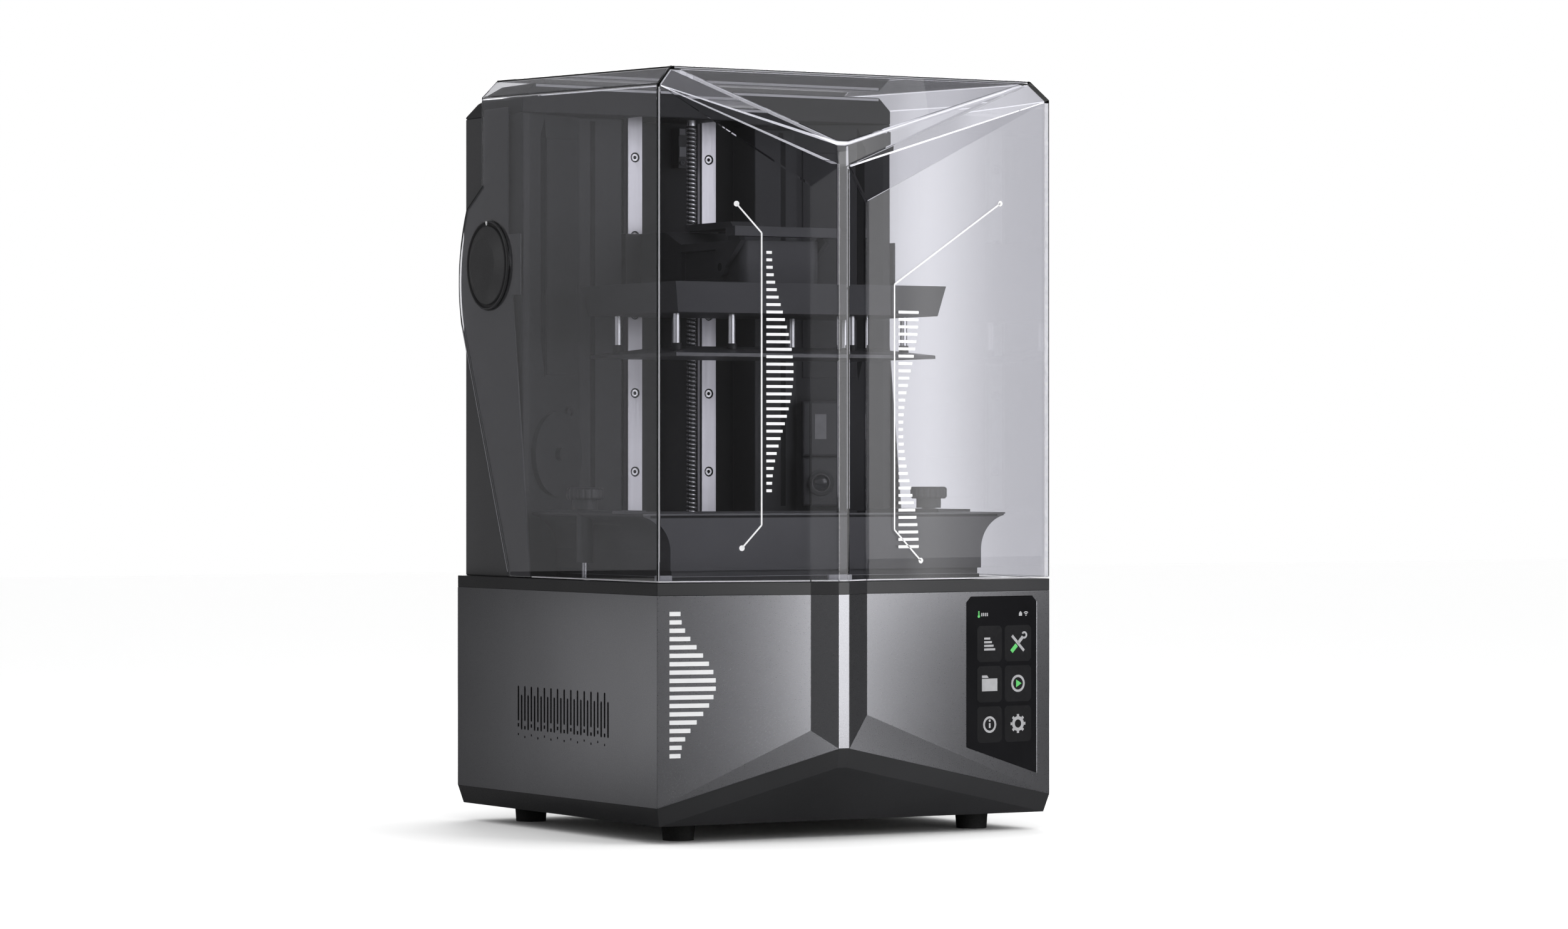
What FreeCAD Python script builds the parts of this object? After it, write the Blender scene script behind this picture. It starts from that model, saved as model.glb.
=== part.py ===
import FreeCAD, Part
import math
import os

V = FreeCAD.Vector
X_AXIS = V(1, 0, 0)
Y_AXIS = V(0, 1, 0)
Z_AXIS = V(0, 0, 1)

# Desktop resin printer. Millimetres, +Z up, front towards -Y, origin under the middle of the outline.

# Plan of the base and lid: straight sides, and a low ridge ("prow") left of the middle of the front
half_width = 162.2
back_y = 169.0
corner_y = -139.3
crease_left_x = -51.5
crease_left_out = 21.9
crease_right_x = -2.5
crease_right_out = 16.7
nose_x = -28.9
nose_width = 8.4
nose_out = 29.7

# Base
wall = 3.0
foot_height = 12.8
foot_radius = 12.0
foot_taper = 1.0
foot_side_gap = 40.2
foot_front_y = -97.0
foot_back_y = 128.0
skirt_height = 13.0
skirt_taper = 3.2
floor_thickness = 2.6
panel_height = 147.3
deck_thickness = 8.7
crease_left_rise = 52.2
crease_right_rise = 62.1
nose_rise = 39.4
vent_columns = 28
vent_pitch = 5.1
vent_middle_y = 1.5
vent_low_z = 71.4
vent_length = 25.6
vent_width = 2.3
vent_stagger = 6.4
vent_dot_length = 2.6
vent_dot_gap = 1.7
vent_dot_drop = 1.7
vent_far_gap = 4.7
vent_far_size = 1.6

# Touch screen on the right front panel, with a lower edge that follows the panel's
screen_side_gap = 12.0
screen_width = 63.9
screen_top_gap = 3.6
screen_left_height = 107.7
screen_right_height = 128.0
screen_corner = 4.0
screen_glass = 1.6
screen_window_edge = 5.0
screen_module_depth = 7.0

# Lid
lid_gap = 0.7
lid_corner_top = 528.3
lid_crease_left_top = 460.8
lid_crease_right_top = 450.6
lid_nose_top = 474.7
lid_visor_low = 491.0
lid_visor_back = 2.0
lid_chamfer = 13.3
lid_top_setback = 5.0
lid_top_slope = 0.0255
lid_foot_y = 88.0
lid_rear_y = 130.0
arm_plate = 1.6
arm_plate_margin = 1.5

# Lid hinge, and the lid's ear around it, in y and z from the hinge axis
hinge_y = 119.0
hinge_z = 411.0
hub_radius = 32.7
hub_proud = 1.5
hub_rim = 1.2
hub_groove_width = 2.6
hub_groove_depth = 2.4
hub_cap_radius = 19.3
hub_cap_rise = 3.5
ear_low = (45.0, -42.4)
ear_middle = (48.2, 2.0)
ear_high = (36.2, 42.7)
ear_step = 58.5

# Front edge of the dark arm plate inside each side of the lid
arm_foot_y = 55.0
arm_waist_y = 83.0
arm_tab_y = 70.5
arm_tab_low = 388.0
arm_tab_high = 432.7
arm_top_y = 90.0
arm_top_z = 526.0

# Rear housing
cheek_gap = 6.6
tower_front_y = 72.8
tower_lip = 5.6
tower_wall_reach = 63.6
tower_recess_x = 56.0
tower_recess_y = 105.0
tower_top = 541.5
tower_chamfer = 10.0
brow_height = 20.0
brow_crest_y = 126.0
brow_rear_height = 1.5
brow_pocket_depth = 7.5
filter_radius = 31.0
filter_depth = 4.0
filter_boss_radius = 5.0
filter_z = 272.0

# Z axis
rail_x = 30.7
rail_width = 12.0
rail_depth = 8.0
rail_front_y = 131.0
rail_into_brow = 4.5
rail_waist = 1.2
rail_groove = (2.2, 3.4, 5.4, 6.6)
rail_foot_gap = 4.0
rail_hole_pitch = 59.0
rail_first_hole = 31.0
rail_sink_radius = 3.8
rail_sink_depth = 3.2
column_thickness = 8.0
column_into_brow = 7.0
screw_y = 103.5
screw_radius = 4.0
coupling_radius = 9.0
coupling_length = 22.0
coupling_clear = 1.0
coupling_sink = 2.0
shaft_gap = 1.0
motor_size = 42.0
motor_height = 40.0
motor_drop = 25.0
motor_plate = 4.0
motor_bore = 12.0
motor_chamfer = 4.0
shaft_radius = 2.5
bearing_half_x = 20.0
bearing_front_y = 92.0
bearing_height = 7.0
bearing_cap = 1.5
stop_x = 3.0
stop_width = 8.0
stop_height = 30.0
stop_drop = 3.5
stop_set_back = 2.0

# Carriage and arm, at the height in the photograph
carriage_low = 385.0
carriage_height = 52.0
carriage_half_x = 46.0
carriage_thickness = 8.0
block_width = 27.0
block_height = 20.0
block_depth = 11.0
block_clearance = 2.0
block_edge = 2.0
arm_half_x = 33.0
arm_front_y = -31.5
arm_height = 32.6
arm_shoulder_y = 60.0
arm_back_y = 84.0
arm_pocket = 4.0
arm_pocket_edge = 6.0
arm_pocket_start = 14.0
arm_nose_radius = 6.0
nut_radius = 11.0
nut_flange_radius = 17.0
nut_flange = 5.0
nut_short = 6.0
handle_front_y = 18.0
handle_length = 75.0
handle_half_x = 12.0
handle_height = 16.0
handle_bar = 5.0
handle_leg = 9.0
clamp_pivot_y = -6.0
clamp_pivot_z = 408.0
clamp_pin_radius = 3.0
clamp_side = 4.0
clamp_eye_radius = 7.2
clamp_link_half = 4.8
clamp_bar_y = -34.0
clamp_bar_z = 430.0
clamp_bar_rise = 3.0
clamp_bar_width = 14.0
clamp_bar_height = 7.0
clamp_bar_over = 7.0

# Build platform
head_over = 4.7
head_front_y = -75.9
head_back_y = 64.0
head_height = 21.8
head_lift = 9.4
head_taper = 4.5
post_edges = (17.6, 63.1)
post_front_y = -45.2
post_back_y = 39.1
post_radius = 2.6
post_depth = 14.0
post_clear_depth = 18.5
collar_radius = 3.6
collar_height = 2.0
plate_gap = 23.2
plate_side_gap = 13.0
plate_front_y = -68.5
plate_back_y = 57.5
plate_edge = 2.5
plate_rise = 5.4
plate_roof_inset = 34.0

# Vat, its film and what it stands on
bezel_height = 3.2
bezel_edge = 1.0
film_edge = 2.0
lcd_side_gap = 16.2
lcd_front_y = -70.0
lcd_back_y = 59.0
lcd_thickness = 2.9
lcd_ledge = 6.0
vat_side_gap = 33.2
vat_front_y = -97.7
vat_back_y = 70.5
vat_wall = 5.0
vat_end_wall = 8.0
vat_flare_sag = 0.17
vat_rim_z = 229.5
vat_lip_reach = 19.7
vat_lip = 2.0
vat_flare_drop = 26.0
vat_pad = 2.0
vat_pad_half_y = 50.0
film_thickness = 0.3
film_frame_height = 4.0
knob_reach = 14.7
knob_y = -1.6
knob_radius = 12.5
knob_height = 10.9
knob_round = 1.6
knob_flutes = 16
knob_flute_radius = 0.9
stem_radius = 9.4
stem_height = 8.0
sleeve_radius = 6.0
sleeve_low_z = 194.0
stud_radius = 2.2
stud_depth = 6.0

# Camera and chamber lamp on the right inner wall
camera_along = 18.5
camera_width = 28.0
camera_depth = 20.0
camera_low_z = 233.0
camera_height = 36.6
housing_round = 2.0
lens_radius = 9.0
lens_length = 4.0
lens_rise = 17.5
lens_rim = 2.0
lens_cone = 1.2
lens_seat = 1.2
lens_crown = 2.0
lamp_height = 41.5
lamp_gap = 1.0
lamp_depth = 15.0
lamp_window_width = 8.6
lamp_window_height = 18.8
lamp_window_rise = 13.0
lamp_window_depth = 1.5

# Inside the base
hood_bottom_half = 46.0
hood_bottom_z = 70.0
hood_wall = 2.0
lamp_board = 4.0
sink_base = 6.0
sink_height = 24.0
sink_fins = 11
sink_fin = 1.6
fan_size = 60.0
fan_depth = 15.0
fan_bore = 28.0
fan_z = 87.0
fan_strut = 3.0
fan_hub_radius = 11.0
fan_blade_radius = 27.2
fan_blades = 7
fan_blade = 1.6
fan_blade_pitch = 35.0
fan_blade_root = 9.0
fan_rotor_depth = 9.0
fan_shaft_radius = 1.5
board_length = 120.0
board_width = 90.0
board_thickness = 1.6
board_side_gap = 22.2
board_y = 62.0
standoff_height = 5.0
standoff_radius = 3.0
standoff_edge = 6.0
inlet_side_gap = 44.2
inlet_z = 62.0
inlet_size = 15.0
inlet_depth = 12.0
inlet_bore = 4.0
inlet_floor = 2.0
inlet_pin = 1.1
inlet_pin_root = 1.0
switch_spacing = 34.0
switch_half_x = 10.5
switch_half_z = 7.5
switch_frame = 2.0
switch_depth = 16.0
rocker_angle = 8.0
rocker_sink = 3.0
rocker_crown = 1.6
rocker_edge = 1.2
rocker_depth = 3.0
rocker_foot = 0.6
rocker_end_gap = 0.8
pivot_radius = 1.0
usb_y = -108.0
usb_z = 60.0
usb_width = 14.5
usb_height = 7.0
usb_depth = 14.0
usb_wall = 0.8

# Fits
running_gap = 0.08
slide_gap = 0.12
seat_gap = 0.2
body_gap = 0.4
cut_over = 1.0

# Heights and places worked out from the sizes above
cheek_x = half_width - cheek_gap
tower_inner_x = cheek_x - tower_wall_reach
foot_x = half_width - foot_side_gap
screen_right_x = half_width - screen_side_gap
screen_left_x = screen_right_x - screen_width
inlet_x = half_width - inlet_side_gap
switch_x = inlet_x - switch_spacing
board_x = board_side_gap - half_width
vat_half_x = half_width - vat_side_gap
vat_lip_x = vat_half_x + vat_lip_reach
knob_x = vat_half_x + knob_reach
brow_low = tower_top - brow_height
pocket_top = brow_low + brow_pocket_depth
rail_top = brow_low + rail_into_brow
column_top = brow_low + column_into_brow
panel_low = foot_height + skirt_height
deck_low = panel_low + panel_height
deck_top = deck_low + deck_thickness
lid_low = deck_top + lid_gap
bezel_top = deck_top + bezel_height
vat_low = bezel_top + film_thickness + film_frame_height
column_front_y = rail_front_y + rail_depth
column_back_y = column_front_y + column_thickness
block_front_y = column_front_y - block_clearance - block_depth
carriage_front_y = block_front_y - carriage_thickness
carriage_top = carriage_low + carriage_height
head_top = carriage_low + head_lift
head_low = head_top - head_height
arm_top = head_top + arm_height
plate_edge_top = head_low - plate_gap - plate_rise
plate_low = plate_edge_top - plate_edge
plate_roof = plate_edge_top + plate_rise
cavity_half_x = vat_half_x - vat_end_wall
lcd_half_x = vat_half_x - lcd_side_gap
plate_half_x = cavity_half_x - plate_side_gap
head_half_x = plate_half_x + head_over
post_x = [head_half_x - edge for edge in post_edges]
cavity_front_y = vat_front_y + vat_wall
cavity_back_y = vat_back_y - vat_wall
motor_top = deck_low - motor_drop
hinge_centre = V(0, hinge_y, hinge_z)

os.makedirs("parts", exist_ok=True)


def export(name, shape):
    shape.exportStep("parts/" + name + ".step")


def box(x0, x1, y0, y1, z0, z1):
    return Part.makeBox(x1 - x0, y1 - y0, z1 - z0, V(x0, y0, z0))


def rod(start, radius, length, axis):
    return Part.makeCylinder(radius, length, start, axis)


def prism(points, direction):
    # Straight prism on a closed outline of vectors
    return Part.Face(Part.makePolygon(list(points) + [points[0]])).extrude(direction)


def upright(plan, z0, z1):
    return prism([V(x, y, z0) for x, y in plan], V(0, 0, z1 - z0))


def mirrored(shape):
    return shape.mirror(V(0, 0, 0), X_AXIS)


def group(shapes):
    return Part.makeCompound(list(shapes))


def fused(shapes):
    return shapes[0].multiFuse(shapes[1:]).removeSplitter()


def inset(plan, distance):
    # A closed anticlockwise plan moved inwards by a distance
    lines = []
    for (x0, y0), (x1, y1) in zip(plan, plan[1:] + plan[:1]):
        length = math.hypot(x1 - x0, y1 - y0)
        nx = -(y1 - y0) / length
        ny = (x1 - x0) / length
        lines.append((nx, ny, nx * x0 + ny * y0 + distance))
    points = []
    for (a0, b0, c0), (a1, b1, c1) in zip([lines[-1]] + lines[:-1], lines):
        det = a0 * b1 - a1 * b0
        points.append(((c0 * b1 - c1 * b0) / det, (a0 * c1 - a1 * c0) / det))
    return points


def polyhedron(loops):
    # Closed solid from corner loops; a loop that isn't flat is split into triangles
    faces = []
    for loop in loops:
        normal = (loop[1] - loop[0]).cross(loop[2] - loop[0]).normalize()
        flat = all(abs((p - loop[0]).dot(normal)) < 1e-6 for p in loop)
        pieces = [loop] if flat else [[loop[0], loop[i], loop[i + 1]] for i in range(1, len(loop) - 1)]
        faces += [Part.Face(Part.makePolygon(piece + [piece[0]])) for piece in pieces]
    solid = Part.makeSolid(Part.makeShell(faces))
    if solid.Volume < 0:
        solid.reverse()
    return solid


def at_wall(shape, sign, along, z):
    # Moves a piece that faces -Y at the origin onto a slanted inner wall of the rear housing
    lean = math.degrees(math.atan2(tower_recess_y - tower_front_y, cheek_x - tower_lip - tower_inner_x))
    turn = math.radians(lean)
    x = sign * (tower_inner_x + along * math.cos(turn))
    y = tower_recess_y - along * math.sin(turn)
    shape.Placement = FreeCAD.Placement(V(x, y, z), FreeCAD.Rotation(Z_AXIS, -sign * lean))
    return shape


# Plan outline: left rear corner, then anticlockwise along the front to the right rear corner
nose_left = nose_x - nose_width / 2
nose_right = nose_x + nose_width / 2
outline = [
    (-half_width, back_y),
    (-half_width, corner_y),
    (crease_left_x, corner_y - crease_left_out),
    (nose_left, corner_y - nose_out),
    (nose_right, corner_y - nose_out),
    (crease_right_x, corner_y - crease_right_out),
    (half_width, corner_y),
    (half_width, back_y),
]


def front_points(distance):
    return inset(outline, distance)[1:7]


# Base: front fascia with its ridge, and the two triangular facets under the panels
def fascia_block(distance, rear_y):
    plan = front_points(distance)
    rises = [0, crease_left_rise, nose_rise, nose_rise, crease_right_rise, 0]
    low = [V(x, y, panel_low + rise + distance) for (x, y), rise in zip(plan, rises)]
    top = [V(x, y, deck_low + distance) for x, y in plan]
    rear_low = [V(p.x, rear_y, p.z) for p in (low[0], low[5])]
    rear_top = [V(p.x, rear_y, p.z) for p in (top[0], top[5])]
    loops = [[low[i], low[i + 1], top[i + 1], top[i]] for i in range(5)]
    loops += [
        [low[0], low[2], low[1]],
        [low[5], low[4], low[3]],
        [low[0], low[5], low[3], low[2]],
        [low[0], rear_low[0], rear_low[1], low[5]],
        top + [rear_top[1], rear_top[0]],
        [low[0], top[0], rear_top[0], rear_low[0]],
        [low[5], rear_low[1], rear_top[1], top[5]],
        [rear_low[0], rear_top[0], rear_top[1], rear_low[1]],
    ]
    return polyhedron(loops)


fascia_back_y = corner_y + wall


def panel_point(x, z, depth=0.0):
    # A point on the right front panel, or at a depth behind it
    (x0, y0), (x1, y1) = outline[5], outline[6]
    along = V(x1 - x0, y1 - y0, 0).normalize()
    inward = V(-along.y, along.x, 0)
    return V(x, y0 + (x - x0) * (y1 - y0) / (x1 - x0), z) + inward * depth


def screen_outline(edge, depth):
    left = screen_left_x + edge
    right = screen_right_x - edge
    top = deck_low - screen_top_gap - edge
    cut = screen_corner - edge / 2
    left_low = deck_low - screen_top_gap - screen_left_height + edge
    right_low = deck_low - screen_top_gap - screen_right_height + edge
    corners = [
        (left, left_low), (right, right_low), (right, top - cut), (right - cut, top),
        (left + cut, top), (left, top - cut),
    ]
    return [panel_point(x, z, depth) for x, z in corners]


def screen_slab(edge, depth, thickness):
    inward = panel_point(0, 0, thickness) - panel_point(0, 0)
    return prism(screen_outline(edge, depth), inward)


fascia = fascia_block(0, fascia_back_y).cut(fascia_block(wall, fascia_back_y + wall))
fascia = fascia.cut(screen_slab(0, -cut_over, cut_over + screen_glass))
fascia = fascia.cut(screen_slab(screen_window_edge, 0, wall + cut_over))
export("front_fascia", fascia.removeSplitter())
export("screen_glass", screen_slab(seat_gap, 0, screen_glass))
export("screen_module", screen_slab(screen_window_edge + seat_gap, screen_glass, screen_module_depth))


# Side panels with staggered vent slots, and the rear panel
def slot(y, z0, length):
    half = vent_width / 2
    low, high = z0 + half, z0 + length - half
    start = -half_width - cut_over
    depth = wall + 2 * cut_over
    bar = box(start, start + depth, y - half, y + half, low, high)
    return fused([bar] + [rod(V(start, y, z), half, depth, X_AXIS) for z in (low, high)])


side_back_y = back_y - wall
side_panel = box(-half_width, -half_width + wall, fascia_back_y, side_back_y, panel_low, deck_low)
slots = []
for column in range(vent_columns):
    slot_y = vent_middle_y + (column - (vent_columns - 1) / 2) * vent_pitch
    raised = column % 2
    slots.append(slot(slot_y, vent_low_z + raised * vent_stagger, vent_length))
    if raised:
        lowered = 1 - column // 2 % 2
        dot_top = vent_low_z + vent_stagger - vent_dot_gap - lowered * vent_dot_drop
        dot_low = dot_top - vent_dot_length
        far_top = dot_low - vent_far_gap
        for half, low, high in ((vent_width / 2, dot_low, dot_top),
                                (vent_far_size / 2, far_top - vent_far_size, far_top)):
            slots.append(box(-half_width - cut_over, -half_width + wall + cut_over,
                             slot_y - half, slot_y + half, low, high))
side_panel = side_panel.cut(group(slots))
export("left_side_panel", side_panel)
usb_hole = box(half_width - wall - cut_over, half_width + cut_over, usb_y - usb_width / 2,
               usb_y + usb_width / 2, usb_z - usb_height / 2, usb_z + usb_height / 2)
export("right_side_panel", mirrored(side_panel).cut(usb_hole))

rear_panel = box(-half_width, half_width, side_back_y, back_y, panel_low, deck_low)
inlet_half = inlet_size / 2
inlet_hole = box(inlet_x - inlet_half, inlet_x + inlet_half, side_back_y - cut_over, back_y + cut_over,
                 inlet_z - inlet_half, inlet_z + inlet_half)
switch_hole = box(switch_x - switch_half_x, switch_x + switch_half_x, side_back_y - cut_over,
                  back_y + cut_over, inlet_z - switch_half_z, inlet_z + switch_half_z)
export("rear_panel", rear_panel.cut(group([inlet_hole, switch_hole])))


# Tray: tapered skirt that arches up under the nose, with a flat floor
def tray_block():
    (ax, ay), (bx, by) = outline[1], outline[6]
    top = [V(ax, ay, panel_low), V(nose_left, corner_y - nose_out, panel_low + nose_rise),
           V(nose_right, corner_y - nose_out, panel_low + nose_rise), V(bx, by, panel_low)]
    rear_top = [V(ax, back_y, panel_low), V(bx, back_y, panel_low)]
    shrink = (half_width - skirt_taper) / half_width
    low_left = V(ax + skirt_taper, ay + skirt_taper, foot_height)
    low_right = V(bx - skirt_taper, by + skirt_taper, foot_height)
    low = [low_left, low_left + (top[1] - top[0]) * shrink, low_right + (top[2] - top[3]) * shrink, low_right]
    rear_low = [V(low_left.x, back_y - skirt_taper, foot_height),
                V(low_right.x, back_y - skirt_taper, foot_height)]
    loops = [[low[i], low[i + 1], top[i + 1], top[i]] for i in range(3)]
    loops += [
        [low[0], low[3], low[2], low[1]],
        [low[0], rear_low[0], rear_low[1], low[3]],
        [top[0], top[1], top[2], top[3]],
        [top[0], top[3], rear_top[1], rear_top[0]],
        [low[0], top[0], rear_top[0], rear_low[0]],
        [low[3], rear_low[1], rear_top[1], top[3]],
        [rear_low[0], rear_top[0], rear_top[1], rear_low[1]],
    ]
    return polyhedron(loops)


tray_inner_x = half_width - skirt_taper - wall
tray_floor = foot_height + floor_thickness
tray_void = box(-tray_inner_x, tray_inner_x, corner_y + skirt_taper + wall, back_y - skirt_taper - wall,
                tray_floor, panel_low + cut_over)
tray = tray_block().cut(tray_void)
standoffs = []
for x in (board_x + standoff_edge, board_x + board_length - standoff_edge):
    for y in (board_y + standoff_edge, board_y + board_width - standoff_edge):
        standoffs.append(rod(V(x, y, tray_floor), standoff_radius, standoff_height, Z_AXIS))
export("base_tray", fused([tray] + standoffs))

feet = []
for x in (-foot_x, foot_x):
    for y in (foot_front_y, foot_back_y):
        feet.append(Part.makeCone(foot_radius - foot_taper, foot_radius, foot_height, V(x, y, 0)))
export("rubber_feet", group(feet))

# Deck: dark plate on the base, open under the screen, with holes for the lead screw and the vat studs
deck = upright(outline, deck_low, deck_top)
light_x = lcd_half_x - lcd_ledge
light_front_y = lcd_front_y + lcd_ledge
light_back_y = lcd_back_y - lcd_ledge
deck = deck.cut(box(-light_x, light_x, light_front_y, light_back_y, deck_low - cut_over, deck_top + cut_over))
deck = deck.cut(rod(V(0, screw_y, deck_low - cut_over), coupling_radius + coupling_clear,
                    deck_thickness + 2 * cut_over, Z_AXIS))
for side in (-1, 1):
    stud_hole = rod(V(side * knob_x, knob_y, deck_top - stud_depth - body_gap), stud_radius + running_gap,
                    stud_depth + body_gap + cut_over, Z_AXIS)
    deck = deck.cut(stud_hole)
export("top_deck", deck)


# Lid: clear faceted shell that repeats the prow of the base upside down
def lid_block(distance, low_z, rear_y):
    plan = front_points(distance)
    bend = distance * math.tan(math.pi / 8)
    crease = distance / 2
    tops = [lid_corner_top - bend, lid_crease_left_top - crease, lid_nose_top - crease,
            lid_nose_top - crease, lid_crease_right_top - crease, lid_corner_top - bend]
    low = [V(x, y, low_z) for x, y in plan]
    top = [V(x, y, z) for (x, y), z in zip(plan, tops)]
    roof_x = half_width - lid_chamfer - bend
    roof_y = corner_y + lid_top_setback + distance
    roof_z = lid_corner_top + lid_chamfer - distance + lid_top_slope * lid_top_setback
    roof = [V(-roof_x, roof_y, roof_z), V(roof_x, roof_y, roof_z)]
    visor_y = plan[2][1] + lid_visor_back
    visor = [V(plan[i][0], visor_y, lid_visor_low - distance) for i in (2, 3)]
    climb = (rear_y - corner_y) * lid_top_slope
    rear_low = [V(p.x, rear_y, low_z) for p in (low[0], low[5])]
    rear_top = [V(p.x, rear_y, p.z + climb) for p in (top[0], top[5])]
    rear_roof = [V(p.x, rear_y, p.z + (rear_y - roof_y) * lid_top_slope) for p in roof]
    loops = [[low[i], low[i + 1], top[i + 1], top[i]] for i in range(5)]
    loops += [
        [top[0], top[1], top[2]],
        [top[5], top[3], top[4]],
        [top[0], top[2], visor[0], roof[0]],
        [top[2], top[3], visor[1], visor[0]],
        [top[3], top[5], roof[1], visor[1]],
        [roof[0], visor[0], visor[1], roof[1]],
        [roof[0], roof[1], rear_roof[1], rear_roof[0]],
        [top[0], roof[0], rear_roof[0], rear_top[0]],
        [top[5], rear_top[1], rear_roof[1], roof[1]],
        [low[0], top[0], rear_top[0], rear_low[0]],
        [low[5], rear_low[1], rear_top[1], top[5]],
        low[::-1] + rear_low,
        [rear_low[0], rear_top[0], rear_roof[0], rear_roof[1], rear_top[1], rear_low[1]],
    ]
    return polyhedron(loops)


def side_profile(front, margin):
    # Prism across the printer: front edge points upwards, rear edge along the lid's ear
    def yz(y, z):
        return V(-half_width - cut_over, y, z)
    ear = [yz(hinge_y + dy - margin, hinge_z + dz) for dy, dz in (ear_low, ear_middle, ear_high)]
    foot = yz(lid_foot_y - margin, lid_low)
    step = yz(lid_rear_y - margin, hinge_z + ear_step)
    top_z = 2 * lid_corner_top
    crown = yz(lid_rear_y - margin, top_z)
    path = [yz(y, z) for y, z in front] + [yz(front[-1][0], top_z), crown, step, ear[2]]
    edges = [Part.makeLine(a, b) for a, b in zip(path, path[1:])]
    edges.append(Part.Arc(ear[2], ear[1], ear[0]).toShape())
    edges += [Part.makeLine(ear[0], foot), Part.makeLine(foot, path[0])]
    return Part.Face(Part.Wire(edges)).extrude(V(2 * half_width + 2 * cut_over, 0, 0))


hub_bore = rod(V(-half_width - cut_over, hinge_y, hinge_z), hub_radius + running_gap,
               2 * half_width + 2 * cut_over, X_AXIS)
lid = lid_block(0, lid_low, back_y).common(side_profile([(2 * corner_y, lid_low)], 0))
lid = lid.cut(lid_block(wall, lid_low - cut_over, back_y + cut_over)).cut(hub_bore)
export("lid_shell", lid.removeSplitter())

arm_front = [(arm_foot_y, lid_low), (arm_waist_y, arm_tab_low), (arm_tab_y, arm_tab_low),
             (arm_tab_y, arm_tab_high), (arm_top_y, arm_tab_high)]
arm_outer_x = half_width - wall
arm_slice = box(-arm_outer_x, -arm_outer_x + arm_plate, corner_y, back_y, lid_low, arm_top_z)
lid_arm = arm_slice.common(side_profile(arm_front, arm_plate_margin)).cut(hub_bore)
export("lid_arm_left", lid_arm)
export("lid_arm_right", mirrored(lid_arm))

# Hinge hub: boss on the cheek that the lid turns on, with a ring groove round a raised conical cap
hub_face_x = half_width + hub_proud
groove_floor_x = hub_face_x - hub_groove_depth
groove_outer = hub_radius - hub_rim
groove_inner = groove_outer - hub_groove_width
hub_profile = [
    (cheek_x, 0), (cheek_x, hub_radius), (hub_face_x, hub_radius), (hub_face_x, groove_outer),
    (groove_floor_x, groove_outer), (groove_floor_x, groove_inner), (hub_face_x, groove_inner),
    (hub_face_x + hub_cap_rise, hub_cap_radius), (hub_face_x + hub_cap_rise, 0),
]
hub_points = [V(x, hinge_y, hinge_z + r) for x, r in hub_profile]
hub = Part.Face(Part.makePolygon(hub_points + hub_points[:1])).revolve(hinge_centre, X_AXIS, 360)
export("hinge_hub_right", hub)
export("hinge_hub_left", mirrored(hub))

# Rear housing: two hollow side columns, and a back cover with the brow that bridges them
tower_plan = [
    (-cheek_x, back_y), (-cheek_x, tower_front_y), (-cheek_x + tower_lip, tower_front_y),
    (-tower_inner_x, tower_recess_y), (-tower_recess_x, tower_recess_y), (-tower_recess_x, back_y),
]
tower_side = upright(tower_plan, deck_top, brow_low)
tower_side = tower_side.cut(upright(inset(tower_plan, wall), deck_top - cut_over, brow_low - wall))
export("tower_left", tower_side)
export("tower_right", mirrored(tower_side))
brow_profile = [
    (tower_front_y, brow_low), (tower_front_y, tower_top), (brow_crest_y, tower_top),
    (back_y, brow_low + brow_rear_height), (back_y, brow_low),
]
brow = prism([V(-cheek_x, y, z) for y, z in brow_profile], V(2 * cheek_x, 0, 0))
for side in (-1, 1):
    shoulder = [V(side * cheek_x, tower_front_y - cut_over, tower_top - tower_chamfer),
                V(side * cheek_x, tower_front_y - cut_over, tower_top),
                V(side * (cheek_x - tower_chamfer), tower_front_y - cut_over, tower_top)]
    brow = brow.cut(prism(shoulder, V(0, back_y - tower_front_y, 0)))
brow = brow.cut(box(-tower_recess_x, tower_recess_x, tower_front_y + wall, column_back_y,
                    brow_low - cut_over, pocket_top))
tower_back = box(-tower_recess_x, tower_recess_x, back_y - wall, back_y, deck_top, brow_low)
export("tower_back", fused([brow, tower_back]))

filter_disc = rod(V(0, 0, 0), filter_radius, filter_depth, V(0, -1, 0))
filter_boss = rod(V(0, -filter_depth, 0), filter_boss_radius, filter_depth, V(0, -1, 0))
wall_length = math.hypot(cheek_x - tower_lip - tower_inner_x, tower_recess_y - tower_front_y)
export("filter_cover", at_wall(fused([filter_disc, filter_boss]), -1, wall_length / 2, filter_z))

# Z column: plate, two waisted rails with screw sinks, end stop and upper bearing
export("column_plate", box(-tower_recess_x, tower_recess_x, column_front_y, column_back_y,
                           deck_top, column_top))

rail_half = rail_width / 2
rail_low = deck_top + rail_foot_gap
rail_neck = rail_half - rail_waist
rail_side = list(zip((rail_half, rail_neck, rail_neck, rail_half), rail_groove))
rail_right = [(rail_half, 0)] + rail_side + [(rail_half, rail_depth)]
rail_section = rail_right + [(-x, y) for x, y in rail_right[::-1]]
rail_heights = []
head_z = rail_top - rail_first_hole
while head_z > rail_low + rail_first_hole:
    rail_heights.append(head_z)
    head_z -= rail_hole_pitch
for side, name in ((-1, "left_rail"), (1, "right_rail")):
    rail = upright([(side * rail_x + x, rail_front_y + y) for x, y in rail_section], rail_low, rail_top)
    for z in rail_heights:
        sink = V(side * rail_x, rail_front_y - cut_over, z)
        rail = rail.cut(rod(sink, rail_sink_radius, cut_over + rail_sink_depth, Y_AXIS))
    export(name, rail)

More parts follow.
